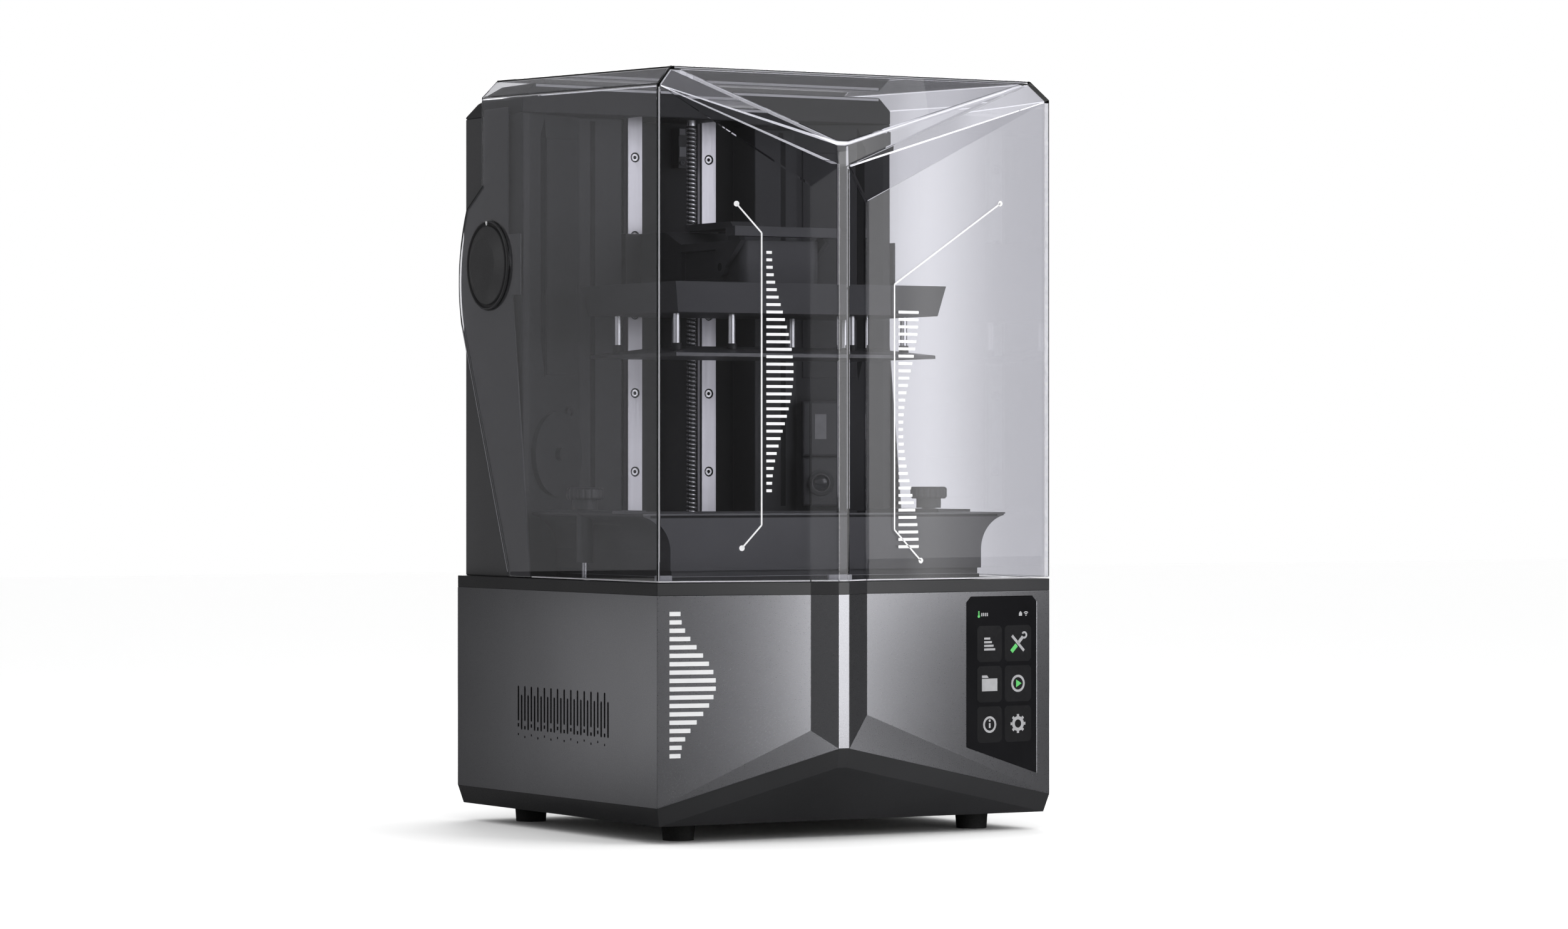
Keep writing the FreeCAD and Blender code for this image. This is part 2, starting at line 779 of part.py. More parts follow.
bearing_low = pocket_top - bearing_height
bearing = box(-bearing_half_x, bearing_half_x, bearing_front_y, column_front_y, bearing_low, pocket_top)
screw_end = pocket_top - bearing_cap - body_gap
bearing = bearing.cut(rod(V(0, screw_y, bearing_low - cut_over), screw_radius + running_gap,
                          screw_end + body_gap - bearing_low + cut_over, Z_AXIS))
export("upper_bearing", bearing)
stop_top = brow_low - stop_drop
export("end_stop", box(stop_x, stop_x + stop_width, block_front_y + stop_set_back, column_front_y,
                       stop_top - stop_height, stop_top))

# Lead screw with its coupling, motor and motor mount
coupling_low = motor_top + motor_plate - coupling_sink
screw_low = coupling_low + coupling_length / 2
screw = rod(V(0, screw_y, screw_low), screw_radius, screw_end - screw_low, Z_AXIS)
export("lead_screw", screw)
coupling = rod(V(0, screw_y, coupling_low), coupling_radius, coupling_length, Z_AXIS)
coupling = coupling.cut(rod(V(0, screw_y, screw_low), screw_radius, coupling_length, Z_AXIS))
coupling = coupling.cut(rod(V(0, screw_y, coupling_low - cut_over), shaft_radius + running_gap,
                            screw_low - coupling_low, Z_AXIS))
export("shaft_coupling", coupling)
motor_half = motor_size / 2
motor = box(-motor_half, motor_half, screw_y - motor_half, screw_y + motor_half,
            motor_top - motor_height, motor_top)
motor_edges = [e for e in motor.Edges if abs(e.tangentAt(e.FirstParameter).z) > 0.9]
motor = motor.makeChamfer(motor_chamfer, motor_edges)
motor = motor.fuse(rod(V(0, screw_y, motor_top), shaft_radius, screw_low - shaft_gap - motor_top, Z_AXIS))
export("z_motor", motor.removeSplitter())
mount_half = motor_half + wall
mount = box(-mount_half, mount_half, screw_y - motor_half, screw_y + motor_half,
            motor_top, deck_low)
mount = mount.cut(box(-motor_half, motor_half, screw_y - motor_size, screw_y + motor_size,
                      motor_top + motor_plate, deck_low + cut_over))
mount = mount.cut(rod(V(0, screw_y, motor_top - cut_over), motor_bore, motor_plate + 2 * cut_over, Z_AXIS))
export("motor_mount", mount)

# Carriage: plate on four guide blocks, nut, arm and its carrying handle
export("carriage_plate", box(-carriage_half_x, carriage_half_x, carriage_front_y, block_front_y,
                             carriage_low, carriage_top))
blocks = []
block_half = block_width / 2
for side in (-1, 1):
    for z in (carriage_low + block_edge, carriage_top - block_edge - block_height):
        centre = side * rail_x
        block = box(centre - block_half, centre + block_half, block_front_y, block_front_y + block_depth,
                    z, z + block_height)
        channel = box(centre - rail_half - slide_gap, centre + rail_half + slide_gap,
                      rail_front_y - slide_gap, column_front_y, z - cut_over, z + block_height + cut_over)
        blocks.append(block.cut(channel))
export("guide_blocks", group(blocks))

arm_profile = [(carriage_front_y, carriage_low), (carriage_front_y, carriage_top),
               (arm_back_y, carriage_top), (arm_shoulder_y, arm_top), (arm_front_y, arm_top),
               (arm_front_y, head_top), (arm_back_y, head_top), (arm_back_y, carriage_low)]
arm = prism([V(-arm_half_x, y, z) for y, z in arm_profile], V(2 * arm_half_x, 0, 0))
arm_top_edges = [e for e in arm.Edges
                 if abs(e.CenterOfMass.y - arm_front_y) < 0.01 and abs(e.tangentAt(e.FirstParameter).z) > 0.9]
arm = arm.makeFillet(arm_nose_radius, arm_top_edges)
pocket_z = (head_top + arm_pocket_edge, arm_top - arm_pocket_edge)
for side in (-1, 1):
    pocket = box(side * arm_half_x - arm_pocket, side * arm_half_x + arm_pocket,
                 clamp_pivot_y + arm_pocket_start, arm_shoulder_y, pocket_z[0], pocket_z[1])
    arm = arm.cut(pocket)
arm = arm.cut(rod(V(0, screw_y, carriage_low - cut_over), nut_radius, carriage_height + 2 * cut_over, Z_AXIS))
arm = arm.cut(rod(V(-arm_half_x - cut_over, clamp_pivot_y, clamp_pivot_z), clamp_pin_radius,
                  2 * arm_half_x + 2 * cut_over, X_AXIS))
export("lift_arm", arm)

nut = fused([rod(V(0, screw_y, carriage_low - nut_flange), nut_flange_radius, nut_flange, Z_AXIS),
             rod(V(0, screw_y, carriage_low), nut_radius, carriage_height - nut_short, Z_AXIS)])
nut = nut.cut(rod(V(0, screw_y, carriage_low - nut_flange - cut_over), screw_radius + running_gap,
                  carriage_height + nut_flange + 2 * cut_over, Z_AXIS))
flange_flat = carriage_front_y - screw_y
nut = nut.common(box(-nut_flange_radius, nut_flange_radius, screw_y - nut_flange_radius,
                     screw_y + flange_flat, carriage_low - nut_flange, carriage_top))
export("screw_nut", nut)

handle_back_y = handle_front_y + handle_length
handle_low = arm_top
handle_top = handle_low + handle_height
handle_profile = [
    (handle_front_y, handle_low), (handle_front_y, handle_top - handle_bar),
    (handle_front_y + handle_bar, handle_top), (handle_back_y - handle_bar, handle_top),
    (handle_back_y, handle_top - handle_bar), (handle_back_y, carriage_top),
    (handle_back_y - handle_leg, carriage_top), (handle_back_y - handle_leg, handle_top - handle_bar),
    (handle_front_y + handle_leg, handle_top - handle_bar), (handle_front_y + handle_leg, handle_low),
]
handle = prism([V(-handle_half_x, y, z) for y, z in handle_profile], V(2 * handle_half_x, 0, 0))
export("arm_handle", handle)

# Clamp: bail that swings up over the front of the arm on a cross pin
pin_length = 2 * (arm_half_x + body_gap + clamp_side)
pin_start = V(-pin_length / 2, clamp_pivot_y, clamp_pivot_z)
export("clamp_pin", rod(pin_start, clamp_pin_radius, pin_length, X_AXIS))
clamp_inner_x = arm_half_x + body_gap
clamp_outer_x = clamp_inner_x + clamp_side
clamp_reach = V(0, clamp_bar_y - clamp_pivot_y, clamp_bar_z - clamp_pivot_z)
bail_parts = []
for side in (-1, 1):
    inner = side * clamp_inner_x
    thickness = side * clamp_side
    eye = rod(V(inner, clamp_pivot_y, clamp_pivot_z), clamp_eye_radius, clamp_side, V(side, 0, 0))
    across = V(0, -clamp_reach.z, clamp_reach.y).normalize() * clamp_link_half
    root = V(inner, clamp_pivot_y, clamp_pivot_z)
    tip = root + clamp_reach
    link = prism([root - across, root + across, tip + across, tip - across], V(thickness, 0, 0))
    bail_parts += [eye, link]
bar_half_x = clamp_outer_x + clamp_bar_over
bar_mid_z = clamp_bar_z + clamp_bar_rise
bail_parts.append(box(-bar_half_x, bar_half_x, clamp_bar_y - clamp_bar_width / 2,
                      clamp_bar_y + clamp_bar_width / 2, bar_mid_z - clamp_bar_height / 2,
                      bar_mid_z + clamp_bar_height / 2))
bail = fused(bail_parts)
bail = bail.cut(rod(V(-bar_half_x, clamp_pivot_y, clamp_pivot_z), clamp_pin_radius + running_gap,
                    2 * bar_half_x, X_AXIS))
export("clamp_bail", bail)


# Build platform: tapered head, eight posts that slide in it, collars and the plate
def rectangle(x, y0, y1, z):
    return Part.makePolygon([V(-x, y0, z), V(x, y0, z), V(x, y1, z), V(-x, y1, z), V(-x, y0, z)])


head = Part.makeLoft([
    rectangle(head_half_x - head_taper, head_front_y + head_taper, head_back_y - head_taper, head_low),
    rectangle(head_half_x, head_front_y, head_back_y, head_top),
], True, True)
plate = Part.makeLoft([
    rectangle(plate_half_x, plate_front_y, plate_back_y, plate_edge_top),
    rectangle(plate_half_x - plate_roof_inset, plate_front_y + plate_roof_inset,
              plate_back_y - plate_roof_inset, plate_roof),
], True, True)
plate = plate.fuse(box(-plate_half_x, plate_half_x, plate_front_y, plate_back_y, plate_low, plate_edge_top))
plate = plate.removeSplitter()
posts = []
collars = []
post_foot = plate_edge_top
collar_top = plate_roof + collar_height
for x in post_x:
    for side in (-1, 1):
        for y in (post_front_y, post_back_y):
            foot = V(side * x, y, post_foot)
            post = rod(foot, post_radius, head_low + post_depth - post_foot, Z_AXIS)
            collar = rod(foot, collar_radius, collar_top - post_foot, Z_AXIS).cut(post)
            head = head.cut(rod(V(side * x, y, head_low - cut_over), post_radius + running_gap,
                                post_clear_depth + cut_over, Z_AXIS))
            plate = plate.cut(rod(foot, collar_radius, plate_rise + cut_over, Z_AXIS))
            posts.append(post)
            collars.append(collar)
export("build_head", head)
export("build_plate", plate)
export("plate_posts", group(posts))
export("post_collars", group(collars))

# Screen under the vat: bezel and glass on the deck
bezel = box(-vat_half_x + bezel_edge, vat_half_x - bezel_edge, vat_front_y + bezel_edge,
            vat_back_y - bezel_edge, deck_top, bezel_top)
bezel = bezel.cut(box(-lcd_half_x - seat_gap, lcd_half_x + seat_gap, lcd_front_y - seat_gap,
                      lcd_back_y + seat_gap, deck_top - cut_over, bezel_top + cut_over))
export("lcd_bezel", bezel)
export("lcd_glass", box(-lcd_half_x, lcd_half_x, lcd_front_y, lcd_back_y, deck_top, deck_top + lcd_thickness))

# Vat: walls with ends that flare to a thin lip, film clamped by a frame, sleeves for the studs
frame_low = bezel_top + film_thickness
film_half_x = vat_half_x - film_edge
film_front_y = vat_front_y + film_edge
film_back_y = vat_back_y - film_edge
export("vat_film", box(-film_half_x, film_half_x, film_front_y, film_back_y, bezel_top, frame_low))
film_frame = box(-film_half_x, film_half_x, film_front_y, film_back_y, frame_low, vat_low)
cavity = box(-cavity_half_x, cavity_half_x, cavity_front_y, cavity_back_y,
             frame_low - cut_over, vat_rim_z + vat_pad + cut_over)
export("film_frame", film_frame.cut(cavity))


def vat_end(side):
    # Concave flare from the wall up to the lip
    start = V(side * vat_half_x, vat_front_y, vat_rim_z - vat_flare_drop)
    end = V(side * vat_lip_x, vat_front_y, vat_rim_z - vat_lip)
    chord = end - start
    sag = V(-side * chord.z, 0, abs(chord.x)).normalize() * (chord.Length * vat_flare_sag)
    return start, start + chord * 0.5 + sag, end


left_start, left_mid, left_end = vat_end(-1)
right_start, right_mid, right_end = vat_end(1)
left_foot = V(-vat_half_x, vat_front_y, vat_low)
right_foot = V(vat_half_x, vat_front_y, vat_low)
left_lip = V(-vat_lip_x, vat_front_y, vat_rim_z)
right_lip = V(vat_lip_x, vat_front_y, vat_rim_z)
vat_edges = [
    Part.makeLine(left_foot, right_foot), Part.makeLine(right_foot, right_start),
    Part.Arc(right_start, right_mid, right_end).toShape(), Part.makeLine(right_end, right_lip),
    Part.makeLine(right_lip, left_lip), Part.makeLine(left_lip, left_end),
    Part.Arc(left_end, left_mid, left_start).toShape(), Part.makeLine(left_start, left_foot),
]
vat = Part.Face(Part.Wire(vat_edges)).extrude(V(0, vat_back_y - vat_front_y, 0))
pad_top = vat_rim_z + vat_pad
vat_adds = []
vat_bores = [cavity]
for side in (-1, 1):
    inner, outer = sorted((side * cavity_half_x, side * vat_lip_x))
    vat_adds.append(box(inner, outer, knob_y - vat_pad_half_y, knob_y + vat_pad_half_y, vat_rim_z, pad_top))
    sleeve_foot = V(side * knob_x, knob_y, sleeve_low_z)
    vat_adds.append(rod(sleeve_foot, sleeve_radius, vat_rim_z - sleeve_low_z, Z_AXIS))
    vat_bores.append(rod(V(side * knob_x, knob_y, sleeve_low_z - cut_over), stud_radius + running_gap,
                         pad_top - sleeve_low_z + 2 * cut_over, Z_AXIS))
vat = fused([vat] + vat_adds).cut(group(vat_bores))
export("resin_vat", vat)

for side, name in ((-1, "vat_knob_left"), (1, "vat_knob_right")):
    x = side * knob_x
    stem_low = pad_top + body_gap / 4
    head_base = stem_low + stem_height
    knob_head = rod(V(x, knob_y, head_base), knob_radius, knob_height, Z_AXIS)
    rims = [e for e in knob_head.Edges if e.Curve.TypeId == "Part::GeomCircle"]
    knob_head = knob_head.makeFillet(knob_round, rims)
    flutes = []
    for step in range(knob_flutes):
        turn = 2 * math.pi * step / knob_flutes
        rim = V(x + knob_radius * math.cos(turn), knob_y + knob_radius * math.sin(turn), head_base)
        flutes.append(rod(rim, knob_flute_radius, knob_height, Z_AXIS))
    knob_head = knob_head.cut(group(flutes))
    stem = rod(V(x, knob_y, stem_low), stem_radius, stem_height, Z_AXIS)
    stud_low = deck_top - stud_depth
    stud = rod(V(x, knob_y, stud_low), stud_radius, stem_low + cut_over - stud_low, Z_AXIS)
    export(name, fused([knob_head, stem, stud]))

# Camera with its lens, and the chamber lamp above it
camera = box(-camera_width / 2, camera_width / 2, -camera_depth, 0, 0, camera_height)
camera_edges = [e for e in camera.Edges if abs(e.CenterOfMass.y + camera_depth) < 0.01]
camera = camera.makeFillet(housing_round, camera_edges)
export("camera_housing", at_wall(camera, 1, camera_along, camera_low_z))
lens_mouth = lens_radius - lens_rim
lens_profile = [(0, 0), (lens_radius, 0), (lens_radius, lens_length), (lens_mouth, lens_length),
                (lens_mouth - lens_cone, lens_seat), (0, lens_crown)]
lens_points = [V(r, -camera_depth - y, lens_rise) for r, y in lens_profile]
lens = Part.Face(Part.makePolygon(lens_points + lens_points[:1]))
lens = lens.revolve(V(0, 0, lens_rise), Y_AXIS, 360)
export("camera_lens", at_wall(lens, 1, camera_along, camera_low_z))
lamp_low_z = camera_low_z + camera_height + lamp_gap
lamp = box(-camera_width / 2, camera_width / 2, -lamp_depth, 0, 0, lamp_height)
lamp_edges = [e for e in lamp.Edges if abs(e.CenterOfMass.y + lamp_depth) < 0.01]
lamp = lamp.makeFillet(housing_round, lamp_edges)
window = box(-lamp_window_width / 2, lamp_window_width / 2, -lamp_depth, -lamp_depth + lamp_window_depth,
             lamp_window_rise, lamp_window_rise + lamp_window_height)
export("lamp_housing", at_wall(lamp.cut(window), 1, camera_along, lamp_low_z))
export("lamp_window", at_wall(window, 1, camera_along, lamp_low_z))

# Light engine under the screen: hood, lamp board and finned heat sink
light_y = (light_front_y + light_back_y) / 2


def hood_block(distance, z0, z1):
    half = hood_bottom_half - distance
    bottom = Part.makePolygon([V(sx * half, light_y + sy * half, z0)
                               for sx, sy in ((-1, -1), (1, -1), (1, 1), (-1, 1), (-1, -1))])
    edge = hood_wall - distance
    return Part.makeLoft([bottom, rectangle(light_x + edge, light_front_y - edge, light_back_y + edge, z1)],
                         True, True)


hood = hood_block(0, hood_bottom_z, deck_low)
export("light_hood", hood.cut(hood_block(hood_wall, hood_bottom_z, deck_low)))
board_half = hood_bottom_half
board_low = hood_bottom_z - lamp_board
export("lamp_board", box(-board_half, board_half, light_y - board_half, light_y + board_half,
                         board_low, hood_bottom_z))
sink_parts = [box(-board_half, board_half, light_y - board_half, light_y + board_half,
                  board_low - sink_base, board_low)]
for fin in range(sink_fins):
    fin_x = -board_half + (2 * board_half - sink_fin) * fin / (sink_fins - 1)
    sink_parts.append(box(fin_x, fin_x + sink_fin, light_y - board_half, light_y + board_half,
                          board_low - sink_height, board_low - sink_base))
export("heat_sink", fused(sink_parts))

# Cooling fan inside the left vents
fan_x = -half_width + wall
fan_half = fan_size / 2
fan_y = vent_middle_y
fan_frame = box(fan_x, fan_x + fan_depth, fan_y - fan_half, fan_y + fan_half,
                fan_z - fan_half, fan_z + fan_half)
fan_frame = fan_frame.cut(rod(V(fan_x - cut_over, fan_y, fan_z), fan_bore, fan_depth + 2 * cut_over, X_AXIS))
strut_x = fan_x + fan_depth - fan_strut
fan_struts = [rod(V(strut_x, fan_y, fan_z), fan_hub_radius, fan_strut, X_AXIS)]
for step in range(3):
    strut = box(strut_x, strut_x + fan_strut, fan_y - fan_strut / 2, fan_y + fan_strut / 2,
                fan_z, fan_z + fan_bore + cut_over)
    strut.rotate(V(0, fan_y, fan_z), X_AXIS, 120 * step)
    fan_struts.append(strut)
fan_frame = fused([fan_frame] + fan_struts)
fan_frame = fan_frame.cut(rod(V(strut_x - cut_over, fan_y, fan_z), fan_shaft_radius + running_gap,
                              fan_strut + 2 * cut_over, X_AXIS))
export("fan_frame", fan_frame)
rotor_x = strut_x - body_gap - fan_rotor_depth
rotor_parts = [rod(V(rotor_x, fan_y, fan_z), fan_hub_radius, fan_rotor_depth, X_AXIS),
               rod(V(rotor_x, fan_y, fan_z), fan_shaft_radius, fan_rotor_depth + body_gap + fan_strut, X_AXIS)]
for step in range(fan_blades):
    blade = box(rotor_x, rotor_x + fan_rotor_depth, -fan_blade / 2, fan_blade / 2,
                fan_blade_root, fan_blade_radius)
    blade.rotate(V(rotor_x + fan_rotor_depth / 2, 0, 0), Z_AXIS, fan_blade_pitch)
    blade.translate(V(0, fan_y, fan_z))
    blade.rotate(V(0, fan_y, fan_z), X_AXIS, 360 * step / fan_blades)
    rotor_parts.append(blade)
export("fan_rotor", fused(rotor_parts))

# Main board on the tray's standoffs
board_low_z = tray_floor + standoff_height
board = box(board_x, board_x + board_length, board_y, board_y + board_width, board_low_z,
            board_low_z + board_thickness)
export("main_board", board)

# Rear power inlet, rocker switch and side USB socket
inlet = box(inlet_x - inlet_half, inlet_x + inlet_half, back_y - inlet_depth, back_y,
            inlet_z - inlet_half, inlet_z + inlet_half)
bore_floor = V(inlet_x, back_y - inlet_depth + inlet_floor, inlet_z)
inlet = inlet.cut(rod(bore_floor, inlet_bore, inlet_depth, Y_AXIS))
pin_root = V(inlet_x, back_y - inlet_depth + inlet_pin_root, inlet_z)
inlet = inlet.fuse(rod(pin_root, inlet_pin, inlet_depth - 2 * inlet_pin_root, Y_AXIS))
export("power_inlet", inlet.removeSplitter())

switch_box = box(switch_x - switch_half_x, switch_x + switch_half_x, back_y - switch_depth, back_y,
                 inlet_z - switch_half_z, inlet_z + switch_half_z)
rocker_half_x = switch_half_x - switch_frame
rocker_half_z = switch_half_z - switch_frame
switch_box = switch_box.cut(box(switch_x - rocker_half_x, switch_x + rocker_half_x,
                                back_y - switch_depth + switch_frame,
                                back_y + cut_over, inlet_z - rocker_half_z, inlet_z + rocker_half_z))
rocker_axis_y = back_y - rocker_sink
switch_box = switch_box.cut(rod(V(switch_x - rocker_half_x - cut_over, rocker_axis_y, inlet_z),
                                pivot_radius + running_gap, 2 * rocker_half_x + 2 * cut_over, X_AXIS))
export("switch_frame", switch_box)
face_half_z = rocker_half_z - rocker_end_gap
face_z = face_half_z * math.cos(math.radians(rocker_angle))
face_y = face_half_z * math.sin(math.radians(rocker_angle))
rocker_floor = rocker_axis_y - rocker_depth
foot_z = face_z * rocker_foot
rocker_profile = [(rocker_axis_y + rocker_edge + 2 * face_y, inlet_z - face_z),
                  (rocker_axis_y + rocker_crown, inlet_z), (rocker_axis_y + rocker_edge, inlet_z + face_z),
                  (rocker_floor, inlet_z + foot_z), (rocker_floor, inlet_z - foot_z)]
rocker_x = switch_x - rocker_half_x + body_gap
rocker = prism([V(rocker_x, y, z) for y, z in rocker_profile], V(2 * (rocker_half_x - body_gap), 0, 0))
pivot = rod(V(switch_x - rocker_half_x - cut_over + body_gap, rocker_axis_y, inlet_z), pivot_radius,
            2 * (rocker_half_x + cut_over - body_gap), X_AXIS)
export("power_rocker", fused([rocker, pivot]))

usb = box(half_width - usb_depth, half_width, usb_y - usb_width / 2, usb_y + usb_width / 2,
          usb_z - usb_height / 2, usb_z + usb_height / 2)
usb = usb.cut(box(half_width - usb_depth + usb_wall, half_width + cut_over, usb_y - usb_width / 2 + usb_wall,
                  usb_y + usb_width / 2 - usb_wall, usb_z - usb_height / 2 + usb_wall,
                  usb_z + usb_height / 2 - usb_wall))
tongue = box(half_width - usb_depth, half_width - cut_over, usb_y - usb_width / 2 + 2 * usb_wall,
             usb_y + usb_width / 2 - 2 * usb_wall, usb_z + usb_wall, usb_z + 2 * usb_wall)
export("usb_socket", fused([usb, tongue]))
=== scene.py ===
import bpy
import bmesh
import math
from mathutils import Matrix, Vector


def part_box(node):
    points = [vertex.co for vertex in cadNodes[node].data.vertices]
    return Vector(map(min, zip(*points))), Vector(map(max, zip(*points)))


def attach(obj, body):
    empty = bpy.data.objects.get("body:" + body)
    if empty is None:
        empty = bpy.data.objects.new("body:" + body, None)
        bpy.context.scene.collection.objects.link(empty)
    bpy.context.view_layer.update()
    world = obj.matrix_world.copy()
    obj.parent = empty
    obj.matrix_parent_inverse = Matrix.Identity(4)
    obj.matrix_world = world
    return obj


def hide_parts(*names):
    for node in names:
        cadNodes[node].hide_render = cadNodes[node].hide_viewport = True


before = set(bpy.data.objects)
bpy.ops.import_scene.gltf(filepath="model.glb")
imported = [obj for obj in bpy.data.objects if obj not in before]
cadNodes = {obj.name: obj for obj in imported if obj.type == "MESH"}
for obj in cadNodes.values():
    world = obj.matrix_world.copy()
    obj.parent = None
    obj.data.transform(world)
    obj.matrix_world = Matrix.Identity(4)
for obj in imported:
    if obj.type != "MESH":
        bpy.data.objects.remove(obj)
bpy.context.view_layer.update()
scene = bpy.context.scene
scene.view_settings.view_transform = "Standard"
mm = 0.001
bothSides = ((-1, "Left"), (1, "Right"))
xAxis, yAxis, zAxis = range(3)
print("frame loaded:", len(cadNodes), "nodes")

# Camera where the photograph was taken from, level and without shift
photoCamera = {"lens": 117.38, "sensor": 36, "place": (-1.86869, -3.24491, 0.26433), "tilt": 90,
               "yaw": -30.21}
cameraData = bpy.data.cameras.new("photoCamera")
cameraData.sensor_width = photoCamera["sensor"]
cameraData.lens = photoCamera["lens"]
camera = bpy.data.objects.new("photoCamera", cameraData)
camera.location = photoCamera["place"]
camera.rotation_euler = (math.radians(photoCamera["tilt"]), 0, math.radians(photoCamera["yaw"]))
scene.collection.objects.link(camera)
scene.camera = camera


# Helpers for node trees of every kind
def addNodes(tree, family, *kinds):
    return [tree.nodes.new(family + kind) for kind in kinds]


def wire(tree, *links):
    for source, output, target, entry in links:
        tree.links.new(source.outputs[output], target.inputs[entry])


def setInputs(node, values):
    for label, value in values.items():
        node.inputs[label].default_value = value


def maths(tree, kind, first, second=0):
    node = tree.nodes.new("ShaderNodeMath")
    node.operation = kind
    for socket, value in zip(node.inputs, (first, second)):
        if isinstance(value, (int, float)):
            socket.default_value = value
        else:
            tree.links.new(value, socket)
    return node.outputs["Value"]


def chained(tree, kind, values):
    total = values[0]
    for value in values[1:]:
        total = maths(tree, kind, total, value)
    return total


def added(tree, *values):
    return chained(tree, "ADD", values)


def times(tree, *values):
    return chained(tree, "MULTIPLY", values)


def oneMinus(tree, value):
    return maths(tree, "SUBTRACT", 1, value)


def mixed(tree, factor, high, low):
    return added(tree, times(tree, factor, high), times(tree, oneMinus(tree, factor), low))


def ranged(tree, socket, limits, low, high, blend="SMOOTHSTEP"):
    node = tree.nodes.new("ShaderNodeMapRange")
    node.interpolation_type = blend
    setInputs(node, {"From Min": limits[0], "From Max": limits[1], "To Min": low, "To Max": high})
    tree.links.new(socket, node.inputs["Value"])
    return node.outputs["Result"]


def axesOf(tree, kind, output):
    source, split = addNodes(tree, "ShaderNode", kind, "SeparateXYZ")
    wire(tree, (source, output, split, "Vector"))
    return split.outputs


def dimmed(tree, colour, factor):
    node = tree.nodes.new("ShaderNodeVectorMath")
    node.operation = "SCALE"
    tree.links.new(colour, node.inputs["Vector"])
    tree.links.new(factor, node.inputs["Scale"])
    return node.outputs["Vector"]


# Materials, all driven by noise on Object coordinates
noiseLook = {"span": (0.3, 0.7), "detail": 3.0, "finishDetail": 2.0, "bumpDepth": 0.0001, "specular": 0.5}


def newMaterial(name):
    material = bpy.data.materials.new(name)
    material.use_nodes = True
    return material, material.node_tree, material.node_tree.nodes["Principled BSDF"]


def noiseFrom(tree, scale, detail=noiseLook["detail"], stretch=None):
    coords, noise = addNodes(tree, "ShaderNode", "TexCoord", "TexNoise")
    setInputs(noise, {"Scale": scale, "Detail": detail})
    if stretch:
        mapping = tree.nodes.new("ShaderNodeMapping")
        mapping.inputs["Scale"].default_value = stretch
        wire(tree, (coords, "Object", mapping, "Vector"), (mapping, "Vector", noise, "Vector"))
    else:
        wire(tree, (coords, "Object", noise, "Vector"))
    return noise


def spreadColour(tree, noise, colour, spread):
    ramp = tree.nodes.new("ShaderNodeValToRGB")
    for element, spot, tone in zip(ramp.color_ramp.elements, noiseLook["span"], (1 - spread, 1 + spread)):
        element.position = spot
        element.color = [c * tone for c in colour] + [1]
    wire(tree, (noise, "Fac", ramp, "Fac"))
    return ramp.outputs["Color"]


def spreadValue(tree, noise, low, high):
    return ranged(tree, noise.outputs["Fac"], noiseLook["span"], low, high, "LINEAR")


# Colour and metal that fall to nearly black below a panel's outer skin, so the walls of its slots stay black
def skinFade(tree, skin):
    axes = axesOf(tree, "TexCoord", "Object")
    across = maths(tree, "SUBTRACT", skin["half"] * mm, maths(tree, "ABSOLUTE", axes["X"]))
    behind = maths(tree, "SUBTRACT", skin["back"] * mm, axes["Y"])
    depth = maths(tree, "MINIMUM", across, behind)
    return ranged(tree, depth, [limit * mm for limit in skin["fade"]], 1, skin["inside"])


def finishMaterial(name, look):
    material, tree, shader = newMaterial(name)
    cloud, grain = (noiseFrom(tree, look[key], noiseLook["finishDetail"], look.get("stretch"))
                    for key in ("cloud", "grain"))
    colour = spreadColour(tree, cloud, look["colour"], look["spread"])
    specular = look.get("specular", noiseLook["specular"])
    setInputs(shader, {"Metallic": look["metal"], "Specular IOR Level": specular})
    if "skin" in look:
        skin = skinFade(tree, look["skin"])
        colour = dimmed(tree, colour, skin)
        tree.links.new(times(tree, skin, look["metal"]), shader.inputs["Metallic"])
    tree.links.new(colour, shader.inputs["Base Color"])
    tree.links.new(spreadValue(tree, grain, *look["rough"]), shader.inputs["Roughness"])
    bump = tree.nodes.new("ShaderNodeBump")
    setInputs(bump, {"Strength": look["bump"], "Distance": noiseLook["bumpDepth"]})
    wire(tree, (grain, "Fac", bump, "Height"), (bump, "Normal", shader, "Normal"))
    return material


